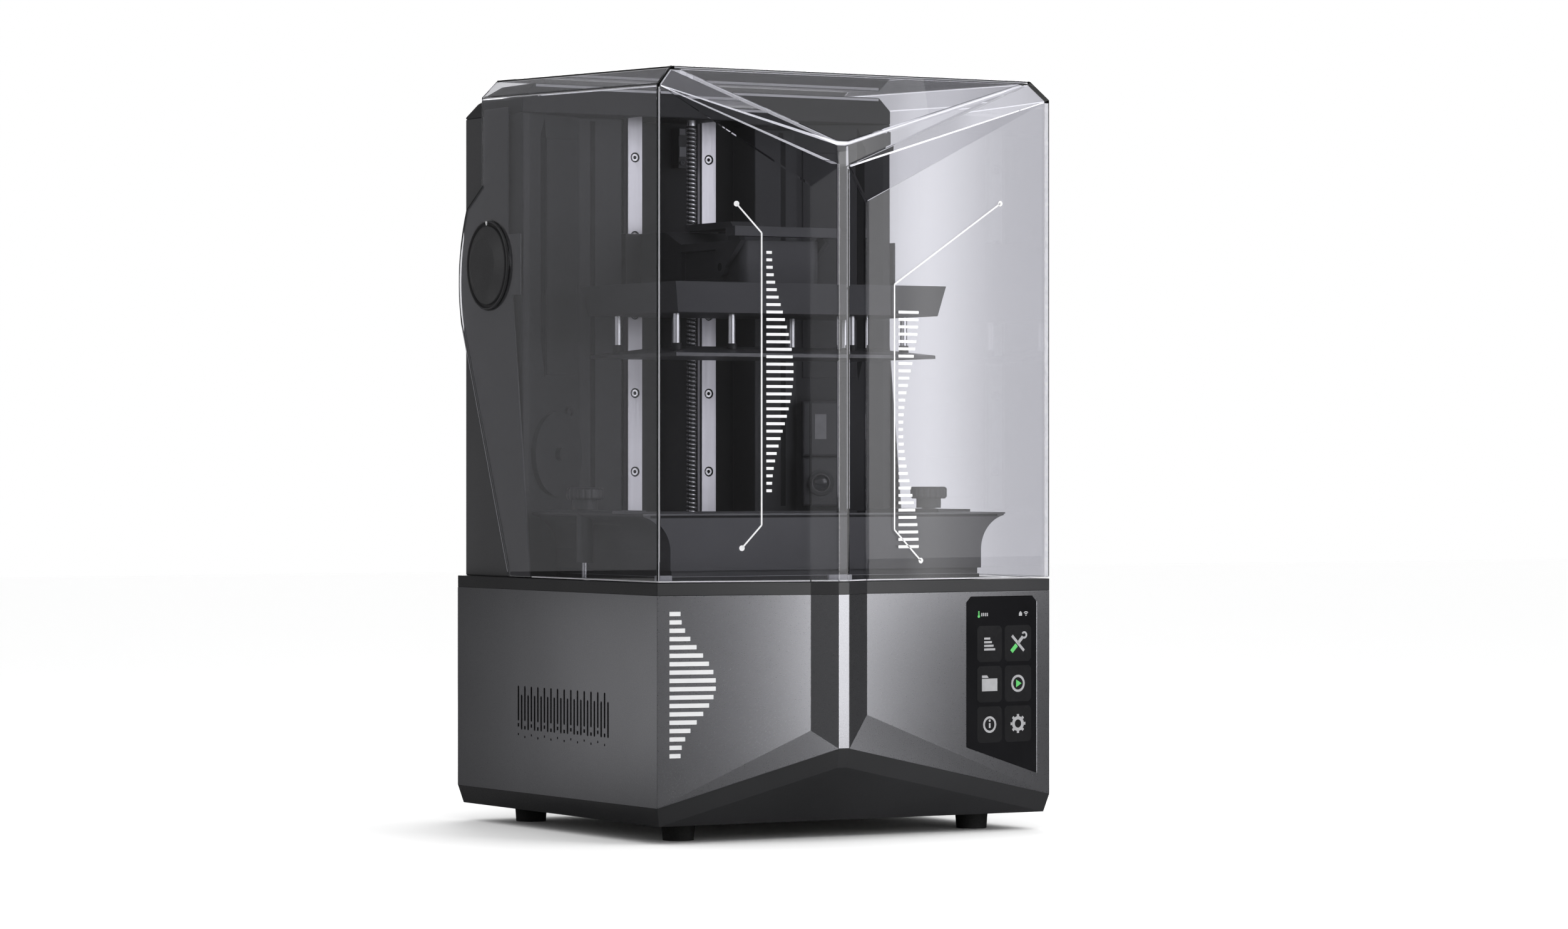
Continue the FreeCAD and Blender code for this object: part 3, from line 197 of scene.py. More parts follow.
# One row for each finish; cloud and grain are the scales of its colour and of its roughness and bump
finishColumns = ("colour", "spread", "cloud", "grain", "rough", "bump", "metal", "specular")
finishRows = {
    "graphitePaint": ((0.31, 0.31, 0.33), 0.05, 9, 1400, (0.27, 0.3), 0.02, 0.97),
    "panelPaint": ((0.31, 0.31, 0.33), 0.05, 9, 1400, (0.27, 0.3), 0.02, 0.97),
    "darkTrim": ((0.022, 0.022, 0.024), 0.12, 12, 900, (0.38, 0.5), 0.12, 0.0),
    "skirtPlastic": ((0.022, 0.022, 0.024), 0.12, 12, 900, (0.4, 0.52), 0.12, 0.0),
    "housingPlastic": ((0.075, 0.075, 0.079), 0.08, 10, 1100, (0.42, 0.52), 0.1, 0.0, 0.3),
    "cameraShell": ((0.12, 0.12, 0.125), 0.08, 20, 1100, (0.4, 0.5), 0.1, 0.0, 0.4),
    "browPlastic": ((0.045, 0.045, 0.048), 0.08, 10, 1100, (0.42, 0.52), 0.1, 0.0, 0.3),
    "armPlastic": ((0.115, 0.115, 0.12), 0.08, 10, 1000, (0.36, 0.46), 0.08, 0.0),
    "footRubber": ((0.012, 0.012, 0.012), 0.2, 40, 700, (0.7, 0.85), 0.3, 0.0),
    "castAluminium": ((0.085, 0.085, 0.09), 0.08, 14, 1500, (0.45, 0.58), 0.15, 0.25),
    "slideBlack": ((0.013, 0.013, 0.014), 0.12, 20, 1200, (0.42, 0.55), 0.1, 0.0, 0.25),
    "vatAluminium": ((0.11, 0.11, 0.116), 0.06, 14, 1300, (0.42, 0.52), 0.1, 0.25),
    "plateAluminium": ((0.16, 0.16, 0.165), 0.06, 30, 500, (0.4, 0.5), 0.12, 0.5),
    "bareAluminium": ((0.42, 0.42, 0.43), 0.06, 20, 300, (0.32, 0.44), 0.08, 0.8),
    "railSteel": ((0.88, 0.87, 0.9), 0.06, 60, 260, (0.3, 0.42), 0.06, 0.85),
    "threadSteel": ((0.93, 0.93, 0.94), 0.05, 120, 800, (0.14, 0.22), 0.04, 0.85),
    "oiledSteel": ((0.03, 0.03, 0.031), 0.15, 120, 700, (0.3, 0.4), 0.06, 0.6),
    "frostClear": ((0.62, 0.62, 0.65), 0.05, 90, 700, (0.2, 0.3), 0.05, 0.0),
    "chrome": ((0.75, 0.75, 0.76), 0.04, 60, 600, (0.1, 0.18), 0.02, 1.0),
    "blackPlastic": ((0.02, 0.02, 0.021), 0.15, 20, 900, (0.4, 0.55), 0.12, 0.0),
    "knobPlastic": ((0.085, 0.085, 0.089), 0.1, 30, 900, (0.36, 0.48), 0.1, 0.0),
    "boardGreen": ((0.02, 0.09, 0.04), 0.2, 80, 400, (0.35, 0.5), 0.1, 0.0),
    "filmClear": ((0.5, 0.5, 0.52), 0.05, 30, 200, (0.12, 0.2), 0.03, 0.0),
    "whiteInk": ((0.86, 0.86, 0.87), 0.02, 50, 600, (0.4, 0.5), 0.03, 0.0),
    "hubPlastic": ((0.055, 0.055, 0.058), 0.1, 30, 900, (0.36, 0.46), 0.08, 0.0),
    # edgeShine: pale strips that stand in for bright edges, painted highlight
    "edgeShine": ((0.92, 0.92, 0.94), 0.05, 40, 600, (0.25, 0.35), 0.03, 0.0),
    "tileGlass": ((0.012, 0.012, 0.013), 0.1, 60, 400, (0.12, 0.2), 0.02, 0.0),
    "lensCoat": ((0.012, 0.014, 0.02), 0.3, 90, 200, (0.05, 0.1), 0.01, 0.0, 0.9),
}
finishExtras = {  # brushing along one axis, and the slotted panels' skin
    "bareAluminium": {"stretch": (0.15, 6, 6)},
    "railSteel": {"stretch": (6, 6, 0.12)},
    "panelPaint": {"skin": {"half": 162.2, "back": 169.0, "fade": (0.1, 0.5), "inside": 0.03}},
}
made = {}
for name, row in finishRows.items():
    made[name] = finishMaterial(name, {**dict(zip(finishColumns, row)), **finishExtras.get(name, {})})

# Clear lid: smoke-tinted acrylic that lets the lamps through
lidLook = {"tint": (0.75, 0.75, 0.785), "spread": 0.012, "cloud": 6, "rough": 0.0, "refraction": 1.49,
           "shadow": (0.8, 0.8, 0.82, 1)}
made["clearAcrylic"], tree, shader = newMaterial("clearAcrylic")
tint = spreadColour(tree, noiseFrom(tree, lidLook["cloud"]), lidLook["tint"], lidLook["spread"])
tree.links.new(tint, shader.inputs["Base Color"])
setInputs(shader, {"Roughness": lidLook["rough"], "Transmission Weight": 1, "IOR": lidLook["refraction"]})
path, clear, blend = addNodes(tree, "ShaderNode", "LightPath", "BsdfTransparent", "MixShader")
clear.inputs["Color"].default_value = lidLook["shadow"]
wire(tree, (path, "Is Shadow Ray", blend, "Fac"), (shader, "BSDF", blend, 1), (clear, "BSDF", blend, 2),
     (blend, "Shader", tree.nodes["Material Output"], "Surface"))

# Black glass of the touch screen and of the screen under the vat
glassLook = {"colour": (0.006, 0.006, 0.007), "spread": 0.2, "cloud": 30, "rough": (0.04, 0.08)}
made["blackGlass"], tree, shader = newMaterial("blackGlass")
noise = noiseFrom(tree, glassLook["cloud"])
tint = spreadColour(tree, noise, glassLook["colour"], glassLook["spread"])
tree.links.new(tint, shader.inputs["Base Color"])
tree.links.new(spreadValue(tree, noise, *glassLook["rough"]), shader.inputs["Roughness"])

# Faces that give a little light of their own: colour and strength
glowLook = {"cloud": 200, "spread": 0.08, "rough": 0.3}
glows = {
    "lampWhite": ((0.24, 0.24, 0.25), 0.2),
    "screenPale": ((0.3, 0.3, 0.31), 0.25),
    "screenGreen": ((0.08, 0.36, 0.1), 0.5),
    # edgeGlow: a glow on the lid's right corner strip, no lamp: painted highlight
    "edgeGlow": ((0.92, 0.92, 0.94), 0.28),
}
for name, (colour, strength) in glows.items():
    made[name], tree, shader = newMaterial(name)
    tint = spreadColour(tree, noiseFrom(tree, glowLook["cloud"]), colour, glowLook["spread"])
    tree.links.new(tint, shader.inputs["Base Color"])
    tree.links.new(tint, shader.inputs["Emission Color"])
    setInputs(shader, {"Emission Strength": strength, "Roughness": glowLook["rough"]})

# Which finish each carried solid takes
worn = {
    "panelPaint": ["left_side_panel", "right_side_panel", "rear_panel"],
    "darkTrim": ["lcd_bezel", "end_stop"],
    "housingPlastic": ["filter_cover"],
    "cameraShell": ["camera_housing", "lamp_housing"],
    "slideBlack": ["column_plate", "guide_blocks", "upper_bearing", "clamp_pin"],
    "footRubber": ["rubber_feet"],
    "castAluminium": ["arm_handle", "clamp_bail", "film_frame", "motor_mount"],
    "bareAluminium": ["heat_sink", "light_hood", "shaft_coupling"],
    "railSteel": ["left_rail", "right_rail"],
    "threadSteel": ["screw_nut"],
    "chrome": ["plate_posts"],
    "blackPlastic": ["fan_frame", "fan_rotor", "power_inlet", "switch_frame", "power_rocker", "z_motor",
                     "post_collars", "screen_module", "usb_socket"],
    "boardGreen": ["main_board", "lamp_board"],
    "filmClear": ["vat_film"],
    "hubPlastic": ["camera_lens"],
    "lampWhite": ["lamp_window"],
    "blackGlass": ["screen_glass", "lcd_glass"],
}
for finish, names in worn.items():
    for name in names:
        cadNodes[name].data.materials.clear()
        cadNodes[name].data.materials.append(made[finish])
print("finishes:", len(made))


# Ways of making a piece; sizes of prisms and turned shapes are in millimetres
def addPiece(name, mesh, finish, body="printer"):
    piece = bpy.data.objects.new(name, mesh)
    scene.collection.objects.link(piece)
    mesh.materials.clear()
    mesh.materials.append(made[finish])
    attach(piece, body)
    return piece


def meshOf(name, shape):
    mesh = bpy.data.meshes.new(name)
    shape.to_mesh(mesh)
    shape.free()
    return mesh


bevelLook = {"segments": 2, "profile": 0.5, "affect": "EDGES", "clamp_overlap": True}


def bevelled(shape, edges, width):
    bmesh.ops.bevel(shape, geom=edges, offset=width * mm, **bevelLook)


def sharpEdges(shape, angle):
    least = math.radians(angle)
    return [edge for edge in shape.edges if len(edge.link_faces) == 2 and edge.calc_face_angle() > least]


def rect(x0, x1, y0, y1):
    return [(x0, y0), (x1, y0), (x1, y1), (x0, y1)]


def addPrism(shape, outline, lift):
    low = [shape.verts.new(point) for point in outline]
    high = [shape.verts.new(point + lift) for point in outline]
    faces = [shape.faces.new(low[::-1]), shape.faces.new(high)]
    for i in range(len(low)):
        j = (i + 1) % len(low)
        faces.append(shape.faces.new([low[i], low[j], high[j], high[i]]))
    bmesh.ops.recalc_face_normals(shape, faces=faces)


def prismPiece(name, outlines, lift, finish, body="printer", edge=0.0):
    shape = bmesh.new()
    for outline in outlines:
        addPrism(shape, outline, lift)
    if edge:
        bevelled(shape, list(shape.edges), edge)
    return addPiece(name, meshOf(name, shape), finish, body)


def slabPiece(name, axis, level, outlines, thickness, finish, body="printer", edge=0.0):
    # A prism across an axis, from a level on that axis
    lift = Vector()
    lift[axis] = thickness * mm
    placed = []
    for outline in outlines:
        placed.append([Vector((*point[:axis], level, *point[axis:])) * mm for point in outline])
    return prismPiece(name, placed, lift, finish, body, edge)


turnedCrease = 32  # degrees past which an edge of a turned shape stays sharp


def lathe(profile, steps):
    shape = bmesh.new()
    turns = [2 * math.pi * i / steps for i in range(steps)]
    rings = []
    for radius, height in profile:
        if radius == 0:  # closes the end
            rings.append([shape.verts.new((0, 0, height * mm))])
        else:
            spots = [(radius * mm * math.cos(t), radius * mm * math.sin(t), height * mm) for t in turns]
            rings.append([shape.verts.new(spot) for spot in spots])
    for low, high in zip(rings, rings[1:]):
        for i in range(steps):
            j = (i + 1) % steps
            corners = [low[i % len(low)], low[j % len(low)], high[j % len(high)], high[i % len(high)]]
            unique = list(dict.fromkeys(corners))
            if len(unique) > 2:
                shape.faces.new(unique)
    bmesh.ops.recalc_face_normals(shape, faces=shape.faces)
    for face in shape.faces:
        face.smooth = True
    for edge in sharpEdges(shape, turnedCrease):
        edge.smooth = False
    return shape


def turnedPiece(name, shape, place, finish, body="printer"):
    shape.transform(place)
    return addPiece(name, meshOf(name, shape), finish, body)


# Geometry node trees for what repeats: realized, put in place and painted at the end
def growTree(name, inputs):
    tree = bpy.data.node_groups.new(name, "GeometryNodeTree")
    sockets = {}
    for kind, labels in [*inputs.items(), ("Vector", ("Place", "Turn")), ("Material", ("Finish",))]:
        for label in labels:
            socket = tree.interface.new_socket(name=label, in_out="INPUT", socket_type="NodeSocket" + kind)
            sockets[label] = socket.identifier
    tree.interface.new_socket(name="Mesh", in_out="OUTPUT", socket_type="NodeSocketGeometry")
    return tree, sockets, tree.nodes.new("NodeGroupInput")


def endTree(tree, given, source, output):
    realize, move, paint = addNodes(tree, "GeometryNode", "RealizeInstances", "Transform", "SetMaterial")
    result = tree.nodes.new("NodeGroupOutput")
    wire(tree, (source, output, realize, "Geometry"), (realize, "Geometry", move, "Geometry"),
         (given, "Place", move, "Translation"), (given, "Turn", move, "Rotation"),
         (move, "Geometry", paint, "Geometry"), (given, "Finish", paint, "Material"),
         (paint, "Geometry", result, "Mesh"))


def grownPiece(name, tree, sockets, values, finish, body="printer"):
    host = bpy.data.objects.new(name, bpy.data.meshes.new(name))
    scene.collection.objects.link(host)
    modifier = host.modifiers.new("grow", "NODES")
    modifier.node_group = tree
    for label, value in {**values, "Finish": made[finish]}.items():
        modifier[sockets[label]] = value
    ready = host.evaluated_get(bpy.context.evaluated_depsgraph_get())
    mesh = bpy.data.meshes.new_from_object(ready)
    bpy.data.objects.remove(host)
    mesh.name = name
    return addPiece(name, mesh, finish, body)


# Pieces that keep the solid's planes and get worked edges; the limits of crispLook are in metres
crispLook = {"corner": (0.155, -0.13, 0.52), "nose": 0.06, "fasciaBack": -0.1364}


def softFold(edge):  # folds from the lid's upper front corners to the nose stay crisp
    near, far = sorted(edge.verts, key=lambda vert: -abs(vert.co.x))
    x, y, z = crispLook["corner"]
    corner = abs(near.co.x) > x and near.co.y < y and near.co.z > z
    return not (corner and abs(far.co.x) < crispLook["nose"])


def frontEdge(edge):  # the fascia's back edges meet the side panels
    return max(vert.co.y for vert in edge.verts) < crispLook["fasciaBack"]


softening = {"weld": 2e-6, "flat": 0.6, "angle": 18, "body": "printer"}
softColumns = ("name", "edge", "finish", "slot", "body")
softRows = {
    "lid_shell": ("lidGlass", 0.7, "clearAcrylic", "clear_lid", "lid"),
    "front_fascia": ("frontFascia", 0.8, "graphitePaint", "graphite_paint"),
    "base_tray": ("baseSkirt", 0.9, "skirtPlastic", "dark_trim"),
    "top_deck": ("topDeck", 0.8, "darkTrim", "dark_trim"),
    "tower_left": ("towerLeft", 1.6, "housingPlastic", "housing"),
    "tower_right": ("towerRight", 1.6, "housingPlastic", "housing"),
    "tower_back": ("towerBrow", 1.6, "browPlastic", "housing"),
    "lift_arm": ("liftArm", 1.2, "castAluminium", "cast_aluminium", "carriage"),
    "carriage_plate": ("carriagePlate", 1.0, "darkTrim", "cast_aluminium", "carriage"),
    "build_head": ("buildHead", 1.0, "castAluminium", "cast_aluminium", "carriage"),
    "build_plate": ("buildPlate", 0.5, "plateAluminium", "bare_aluminium", "plate"),
    "lid_arm_left": ("lidArmLeft", 0.5, "armPlastic", "smoke_plastic", "lid"),
    "lid_arm_right": ("lidArmRight", 0.5, "armPlastic", "smoke_plastic", "lid"),
    "hinge_hub_left": ("hingeHubLeft", 0.5, "hubPlastic", "dark_trim"),
    "hinge_hub_right": ("hingeHubRight", 0.5, "hubPlastic", "dark_trim"),
    "resin_vat": ("resinVat", 0.6, "vatAluminium", "cast_aluminium"),
}
softExtras = {  # least angle of a worked edge, edges that are worked, and how far out the piece reaches
    "lid_shell": {"angle": 9, "keep": softFold},
    "front_fascia": {"keep": frontEdge},
    "lid_arm_left": {"reach": 158.9},
    "lid_arm_right": {"reach": 158.9},
    "hinge_hub_left": {"angle": 25},
    "hinge_hub_right": {"angle": 25},
}
for nodeName, row in softRows.items():
    look = {**softening, **dict(zip(softColumns, row)), **softExtras.get(nodeName, {})}
    shape = bmesh.new()
    shape.from_mesh(cadNodes[nodeName].data)
    bmesh.ops.remove_doubles(shape, verts=shape.verts, dist=look["weld"])
    if "reach" in look:  # keeps a face from lying in the lid's inner wall
        reach = look["reach"] * mm
        for vert in shape.verts:
            vert.co.x = max(-reach, min(reach, vert.co.x))
    flat = math.radians(look["flat"])
    bmesh.ops.dissolve_limit(shape, angle_limit=flat, verts=shape.verts, edges=shape.edges)
    edges = sharpEdges(shape, look["angle"])
    if "keep" in look:
        edges = [edge for edge in edges if look["keep"](edge)]
    bevelled(shape, edges, look["edge"])
    mesh = meshOf(look["name"], shape)
    piece = addPiece(look["name"], mesh, look["finish"], look["body"])
    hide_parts(nodeName)
print("softened:", len(softRows))

# Lead screw: square thread over an oiled core, with a plain turned end
threadLook = {"core": 3.0, "ridge": (1.2, 1.9), "ridgeOut": 0.2, "pitch": 3.15, "steps": 20, "plain": 9.0,
              "endOut": 0.5, "endRound": 0.8, "lead": (0.4, 0.6), "gap": 0.05, "sides": 24}
screwLow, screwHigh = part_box("lead_screw")
screwAxis = Vector(((screwLow.x + screwHigh.x) / 2, (screwLow.y + screwHigh.y) / 2, screwLow.z))
tree, sockets, given = growTree("threadTree", {
    "Float": ("Radius", "Ridge Depth", "Ridge Width", "Turns", "Length"), "Int": ("Steps",)})
spiral, upright, profile, sweep = addNodes(tree, "GeometryNode", "CurveSpiral", "SetCurveNormal",
                                           "CurvePrimitiveQuadrilateral", "CurveToMesh")
upright.mode = "Z_UP"
sweep.inputs["Fill Caps"].default_value = True
wire(tree, (given, "Steps", spiral, "Resolution"), (given, "Turns", spiral, "Rotations"),
     (given, "Radius", spiral, "Start Radius"), (given, "Radius", spiral, "End Radius"),
     (given, "Length", spiral, "Height"), (given, "Ridge Depth", profile, "Width"),
     (given, "Ridge Width", profile, "Height"), (spiral, "Curve", upright, "Curve"),
     (upright, "Curve", sweep, "Curve"), (profile, "Curve", sweep, "Profile Curve"))
endTree(tree, given, sweep, "Mesh")
look = threadLook
screwLength = screwHigh.z - screwLow.z
ridgeDepth, ridgeWidth = look["ridge"]
threadLength = screwLength - (look["plain"] + ridgeWidth) * mm
thread = grownPiece("leadThread", tree, sockets, {
    "Radius": (look["core"] + look["ridgeOut"]) * mm, "Ridge Depth": ridgeDepth * mm,
    "Ridge Width": ridgeWidth * mm, "Turns": threadLength / (look["pitch"] * mm), "Length": threadLength,
    "Steps": look["steps"], "Place": screwAxis + Vector((0, 0, ridgeWidth / 2 * mm))},
    "threadSteel", "screw")
full = screwLength / mm
plainLow = full - look["plain"]
endRadius = look["core"] + look["endOut"]
endProfile = [(0, plainLow), (endRadius, plainLow), (endRadius, full - look["endRound"]),
              (endRadius - look["endRound"], full), (0, full)]
screwPlace = Matrix.Translation(screwAxis)
turnedPiece("screwEnd", lathe(endProfile, look["sides"]), screwPlace, "threadSteel", "screw")
leadIn, leadUp = look["lead"]
coreTop = plainLow - look["gap"]
core = look["core"]
coreProfile = [(0, 0), (core - leadIn, 0), (core, leadUp), (core, coreTop), (0, coreTop)]
coreShape = lathe(coreProfile, look["sides"])
screwCore = turnedPiece("screwCore", coreShape, screwPlace, "oiledSteel", "screw")
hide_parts("lead_screw")
print("thread:", len(thread.data.polygons), "faces")

# Rail screws: socket heads sunk in the rails' counterbores, with painted shade: a dark ring in the gap and a
# dark socket
railScrewLook = {"radius": 2.9, "socket": 1.4, "height": 2.4, "socketDepth": 1.6, "sink": 0.4, "round": 0.35,
                 "groove": (1.85, 2.2, 0.25), "gap": (2.95, 3.75), "gapDrop": 0.4, "shadeLow": 0.9,
                 "shadeIn": 0.05, "shadeDrop": 0.3, "sides": 20, "shadeSides": 12, "first": 31.0,
                 "pitch": 59.0, "count": 5}
look = railScrewLook
radius, socket, top = look["radius"], look["socket"], look["height"]
grooveIn, grooveOut, grooveDepth = look["groove"]
socketLow = top - look["socketDepth"]
headProfile = [(0, socketLow), (socket, socketLow), (socket, top), (grooveIn, top),
               (grooveIn, top - grooveDepth), (grooveOut, top - grooveDepth), (grooveOut, top),
               (radius - look["round"], top), (radius, top - look["round"]), (radius, 0), (0, 0)]
gapIn, gapOut = look["gap"]
gapTop = top - look["gapDrop"]
gapProfile = [(gapIn, 0), (gapOut, 0), (gapOut, gapTop), (gapIn, gapTop), (gapIn, 0)]
shadeRadius, shadeTop = socket - look["shadeIn"], top - look["shadeDrop"]
shadeLow = look["shadeLow"]
shadeProfile = [(0, shadeLow), (shadeRadius, shadeLow), (shadeRadius, shadeTop), (0, shadeTop)]
shades = lathe(gapProfile, look["sides"])
socketShade = meshOf("socketShade", lathe(shadeProfile, look["shadeSides"]))
shades.from_mesh(socketShade)
bpy.data.meshes.remove(socketShade)
screwParts = {"Screws": ("threadSteel", lathe(headProfile, look["sides"])), "Shades": ("slideBlack", shades)}
tree, sockets, given = growTree("screwRowTree", {
    "Object": ("Head",), "Int": ("Count",), "Vector": ("First", "Step")})
row, headInfo, placed = addNodes(tree, "GeometryNode", "MeshLine", "ObjectInfo", "InstanceOnPoints")
wire(tree, (given, "Count", row, "Count"), (given, "First", row, "Start Location"),
     (given, "Step", row, "Offset"), (given, "Head", headInfo, "Object"), (row, "Mesh", placed, "Points"),
     (headInfo, "Geometry", placed, "Instance"))
endTree(tree, given, placed, "Instances")
facingFront = Matrix.Rotation(math.radians(90), 4, "X")
for part, (finish, shape) in screwParts.items():
    shape.transform(facingFront)
    headObject = bpy.data.objects.new("rail" + part, meshOf("rail" + part, shape))
    scene.collection.objects.link(headObject)
    for side in ("left", "right"):
        low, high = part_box(side + "_rail")
        first = ((low.x + high.x) / 2, low.y + (top + look["sink"]) * mm, high.z - look["first"] * mm)
        grownPiece(side + "Rail" + part, tree, sockets, {
            "Head": headObject, "Count": look["count"], "First": first, "Step": (0, 0, -look["pitch"] * mm)},
            finish)
    bpy.data.objects.remove(headObject)
print("rail screws set")


# Flat strokes for marks and signs, as lists of outlines in a panel's own plane
def bar(x0, z0, x1, z1, width):
    side = Vector((z0 - z1, x1 - x0)).normalized() * width / 2
    return [[(x0 - side.x, z0 - side.y), (x1 - side.x, z1 - side.y), (x1 + side.x, z1 + side.y),
             (x0 + side.x, z0 + side.y)]]


def disc(x, z, radius, sides):
    turns = [2 * math.pi * i / sides for i in range(sides)]
    return [[(x + radius * math.cos(t), z + radius * math.sin(t)) for t in turns]]


def arc(x, z, radius, width, first=0, last=360, steps=18):
    turns = [math.radians(first + (last - first) * i / steps) for i in range(steps + 1)]
    outer, inner = ([(x + r * math.cos(t), z + r * math.sin(t)) for t in turns]
                    for r in (radius + width / 2, radius - width / 2))
    return [[outer[i], outer[i + 1], inner[i + 1], inner[i]] for i in range(steps)]


def shield(*points):
    return [list(points)]


# The two front planes that the base and the lid share
frontPanels = {"left": ((-162.2, -139.3), (-51.5, -161.2)), "right": ((-2.5, -156.0), (162.2, -139.3))}


def panelRun(panel):
    start, end = (Vector(point) for point in frontPanels[panel])
    return start, (end - start).normalized()


def onPanel(panel, along, height, out):
    start, run = panelRun(panel)
    spot = start + run * along + Vector((run.y, -run.x)) * out
    return Vector((spot.x, spot.y, height)) * mm


def panelPiece(name, panel, outlines, out, thickness, finish, body="printer"):
    run = panelRun(panel)[1]
    lift = Vector((run.y, -run.x, 0)) * thickness * mm
    placed = [[onPanel(panel, along, z, out) for along, z in outline] for outline in outlines]
    prismPiece(name, placed, lift, finish, body)


# Printed marks: rows of short bars like printed layers, and thin lines with dot ends
tree, sockets, given = growTree("layerMarksTree", {
    "Int": ("Count",),
    "Float": ("Pitch", "Bar", "Thickness", "Shortest", "Swing", "Wave", "Phase")})
index = tree.nodes.new("GeometryNodeInputIndex").outputs["Index"]
angle = added(tree, times(tree, index, given.outputs["Wave"]), given.outputs["Phase"])
swing = times(tree, added(tree, maths(tree, "SINE", angle), 1), given.outputs["Swing"])
length = added(tree, swing, given.outputs["Shortest"])
row, shifted, brick, placed = addNodes(tree, "GeometryNode", "MeshLine", "SetPosition", "MeshCube",
                                       "InstanceOnPoints")
step, offset, stretch = addNodes(tree, "ShaderNode", *["CombineXYZ"] * 3)
tree.links.new(times(tree, length, 0.5), offset.inputs["X"])  # bars start on one line
tree.links.new(length, stretch.inputs["X"])
wire(tree, (given, "Pitch", step, "Z"), (given, "Count", row, "Count"), (step, "Vector", row, "Offset"),
     (row, "Mesh", shifted, "Geometry"), (offset, "Vector", shifted, "Offset"),
     (given, "Thickness", stretch, "Y"), (given, "Bar", stretch, "Z"),
     (shifted, "Geometry", placed, "Points"), (brick, "Mesh", placed, "Instance"),
     (stretch, "Vector", placed, "Scale"))
endTree(tree, given, placed, "Instances")

markColumns = ("panel", "body", "along", "low", "count", "pitch", "bar", "shortest",
               "swing", "wave", "phase")
markRows = {
    "lidMarksLeft": ("left", "lid", 80.0, 246.0, 33, 5.2, 2.0, 4.0, 8.0, 0.196, -1.57),
    "lidMarksRight": ("right", "lid", 28.0, 206.0, 33, 5.2, 2.0, 4.0, 7.0, 0.196, 1.57),
    "baseMarks": ("left", "printer", 9.0, 62.0, 18, 5.8, 3.0, 8.0, 13.0, 0.37, -1.57),
}
markLines = {
    "lidLineLeft": {"panel": "left",
                    "points": [(62.0, 206.0), (76.5, 222.0), (76.5, 426.0), (58.0, 446.0)]},
    "lidLineRight": {"panel": "right",
                     "points": [(48.0, 196.0), (24.5, 218.0), (24.5, 392.0), (120.0, 452.0)]},
}
markSheet = {"thickness": 0.12, "out": 0.03, "line": 1.1, "dot": 2.0, "dotSides": 16}
for name, row in markRows.items():
    look = dict(zip(markColumns, row))
    run = panelRun(look["panel"])[1]
    lengths = {label: look[label.lower()] * mm for label in ("Pitch", "Bar", "Shortest", "Swing")}
    grownPiece(name, tree, sockets, {
        **lengths, "Thickness": markSheet["thickness"] * mm, "Count": look["count"], "Wave": look["wave"],
        "Phase": look["phase"], "Turn": (0, 0, math.atan2(run.y, run.x)),
        "Place": onPanel(look["panel"], look["along"], look["low"], markSheet["out"])},
        "whiteInk", look["body"])
for name, look in markLines.items():
    points, strokes = look["points"], []
    for start, end in zip(points, points[1:]):
        strokes += bar(*start, *end, markSheet["line"])
    for point in (points[0], points[-1]):
        strokes += disc(*point, markSheet["dot"], markSheet["dotSides"])
    inner = markSheet["out"] - markSheet["thickness"] / 2
    panelPiece(name, look["panel"], strokes, inner, markSheet["thickness"], "whiteInk", "lid")
print("printed marks:", len(markRows) + len(markLines))

# Touch screen: faint tiles, a plain pictogram drawn from each tile's centre, and a status line above
screenLook = {"out": 0.02, "lift": 0.08, "columns": ((99.0, 121.5), (124.0, 148.5)),
              "rows": ((148.5, 122.5), (119.5, 93.5), (90.5, 64.5)), "tileCut": 2.2}
teeth = 8
toothTurns = [2 * math.pi * i / teeth for i in range(teeth)]
paleSigns = {
    "layers": [(bar, -5, 2.6 * i - 4, 5 - 1.5 * i, 2.6 * i - 4, 1.5) for i in range(4)],
    "folder": [(shield, *rect(-7, 7, -5, 4)), (shield, (-7, 4.6), (-1, 4.6), (-2.4, 6.4), (-7, 6.4))],
    "note": [(arc, 0, 0, 5.2, 1.6), (bar, 0, -2.4, 0, 1.0, 1.5), (disc, 0, 2.8, 0.9, 14)],
    "tools": [(bar, -5.5, 5.5, 5.5, -5.5, 2.0), (bar, 0, 0, 4.6, 4.6, 2.4),
              (arc, 5.8, 5.8, 2.0, 1.4, -120, 150, 8)],
    "start": [(arc, 0, 0, 5.4, 1.7)],
    "wheel": [(arc, 0, 0, 4.2, 2.4)] + [
        (bar, 5.0 * math.cos(t), 5.0 * math.sin(t), 6.8 * math.cos(t), 6.8 * math.sin(t), 2.0)
        for t in toothTurns],
    "status": [(bar, 103 + i * 1.7, 155.4, 103 + i * 1.7, 157.8, 0.9) for i in range(4)] + [
        (arc, 143.6, 155.4, 2.6, 0.7, 45, 135, 6), (arc, 143.6, 155.4, 1.4, 0.7, 45, 135, 6),
        (disc, 143.6, 155.5, 0.5, 8),
        (shield, (137.2, 155.2), (140.0, 155.2), (140.0, 157.2), (138.6, 158.6), (137.2, 157.2))],
}
greenSigns = {
    "tools": [(bar, -1.2, -1.2, -6.0, -6.0, 3.0)],
    "status": [(disc, 100.4, 155.4, 1.1, 10), (bar, 100.4, 156, 100.4, 159.2, 1.0)],
    "start": [(shield, (-1.7, -2.8), (3.2, 0), (-1.7, 2.8))],
}
tiles, centres = [], []
cut = screenLook["tileCut"]
for x0, x1 in screenLook["columns"]:
    for z1, z0 in screenLook["rows"]:
        tiles.append([(x0 + cut, z0), (x1 - cut, z0), (x1, z0 + cut), (x1, z1 - cut),
                      (x1 - cut, z1), (x0 + cut, z1), (x0, z1 - cut), (x0, z0 + cut)])
        centres.append(((x0 + x1) / 2, (z0 + z1) / 2))
signCentres = dict(zip(paleSigns, centres + [(0, 0)]))  # the status line is measured along the panel


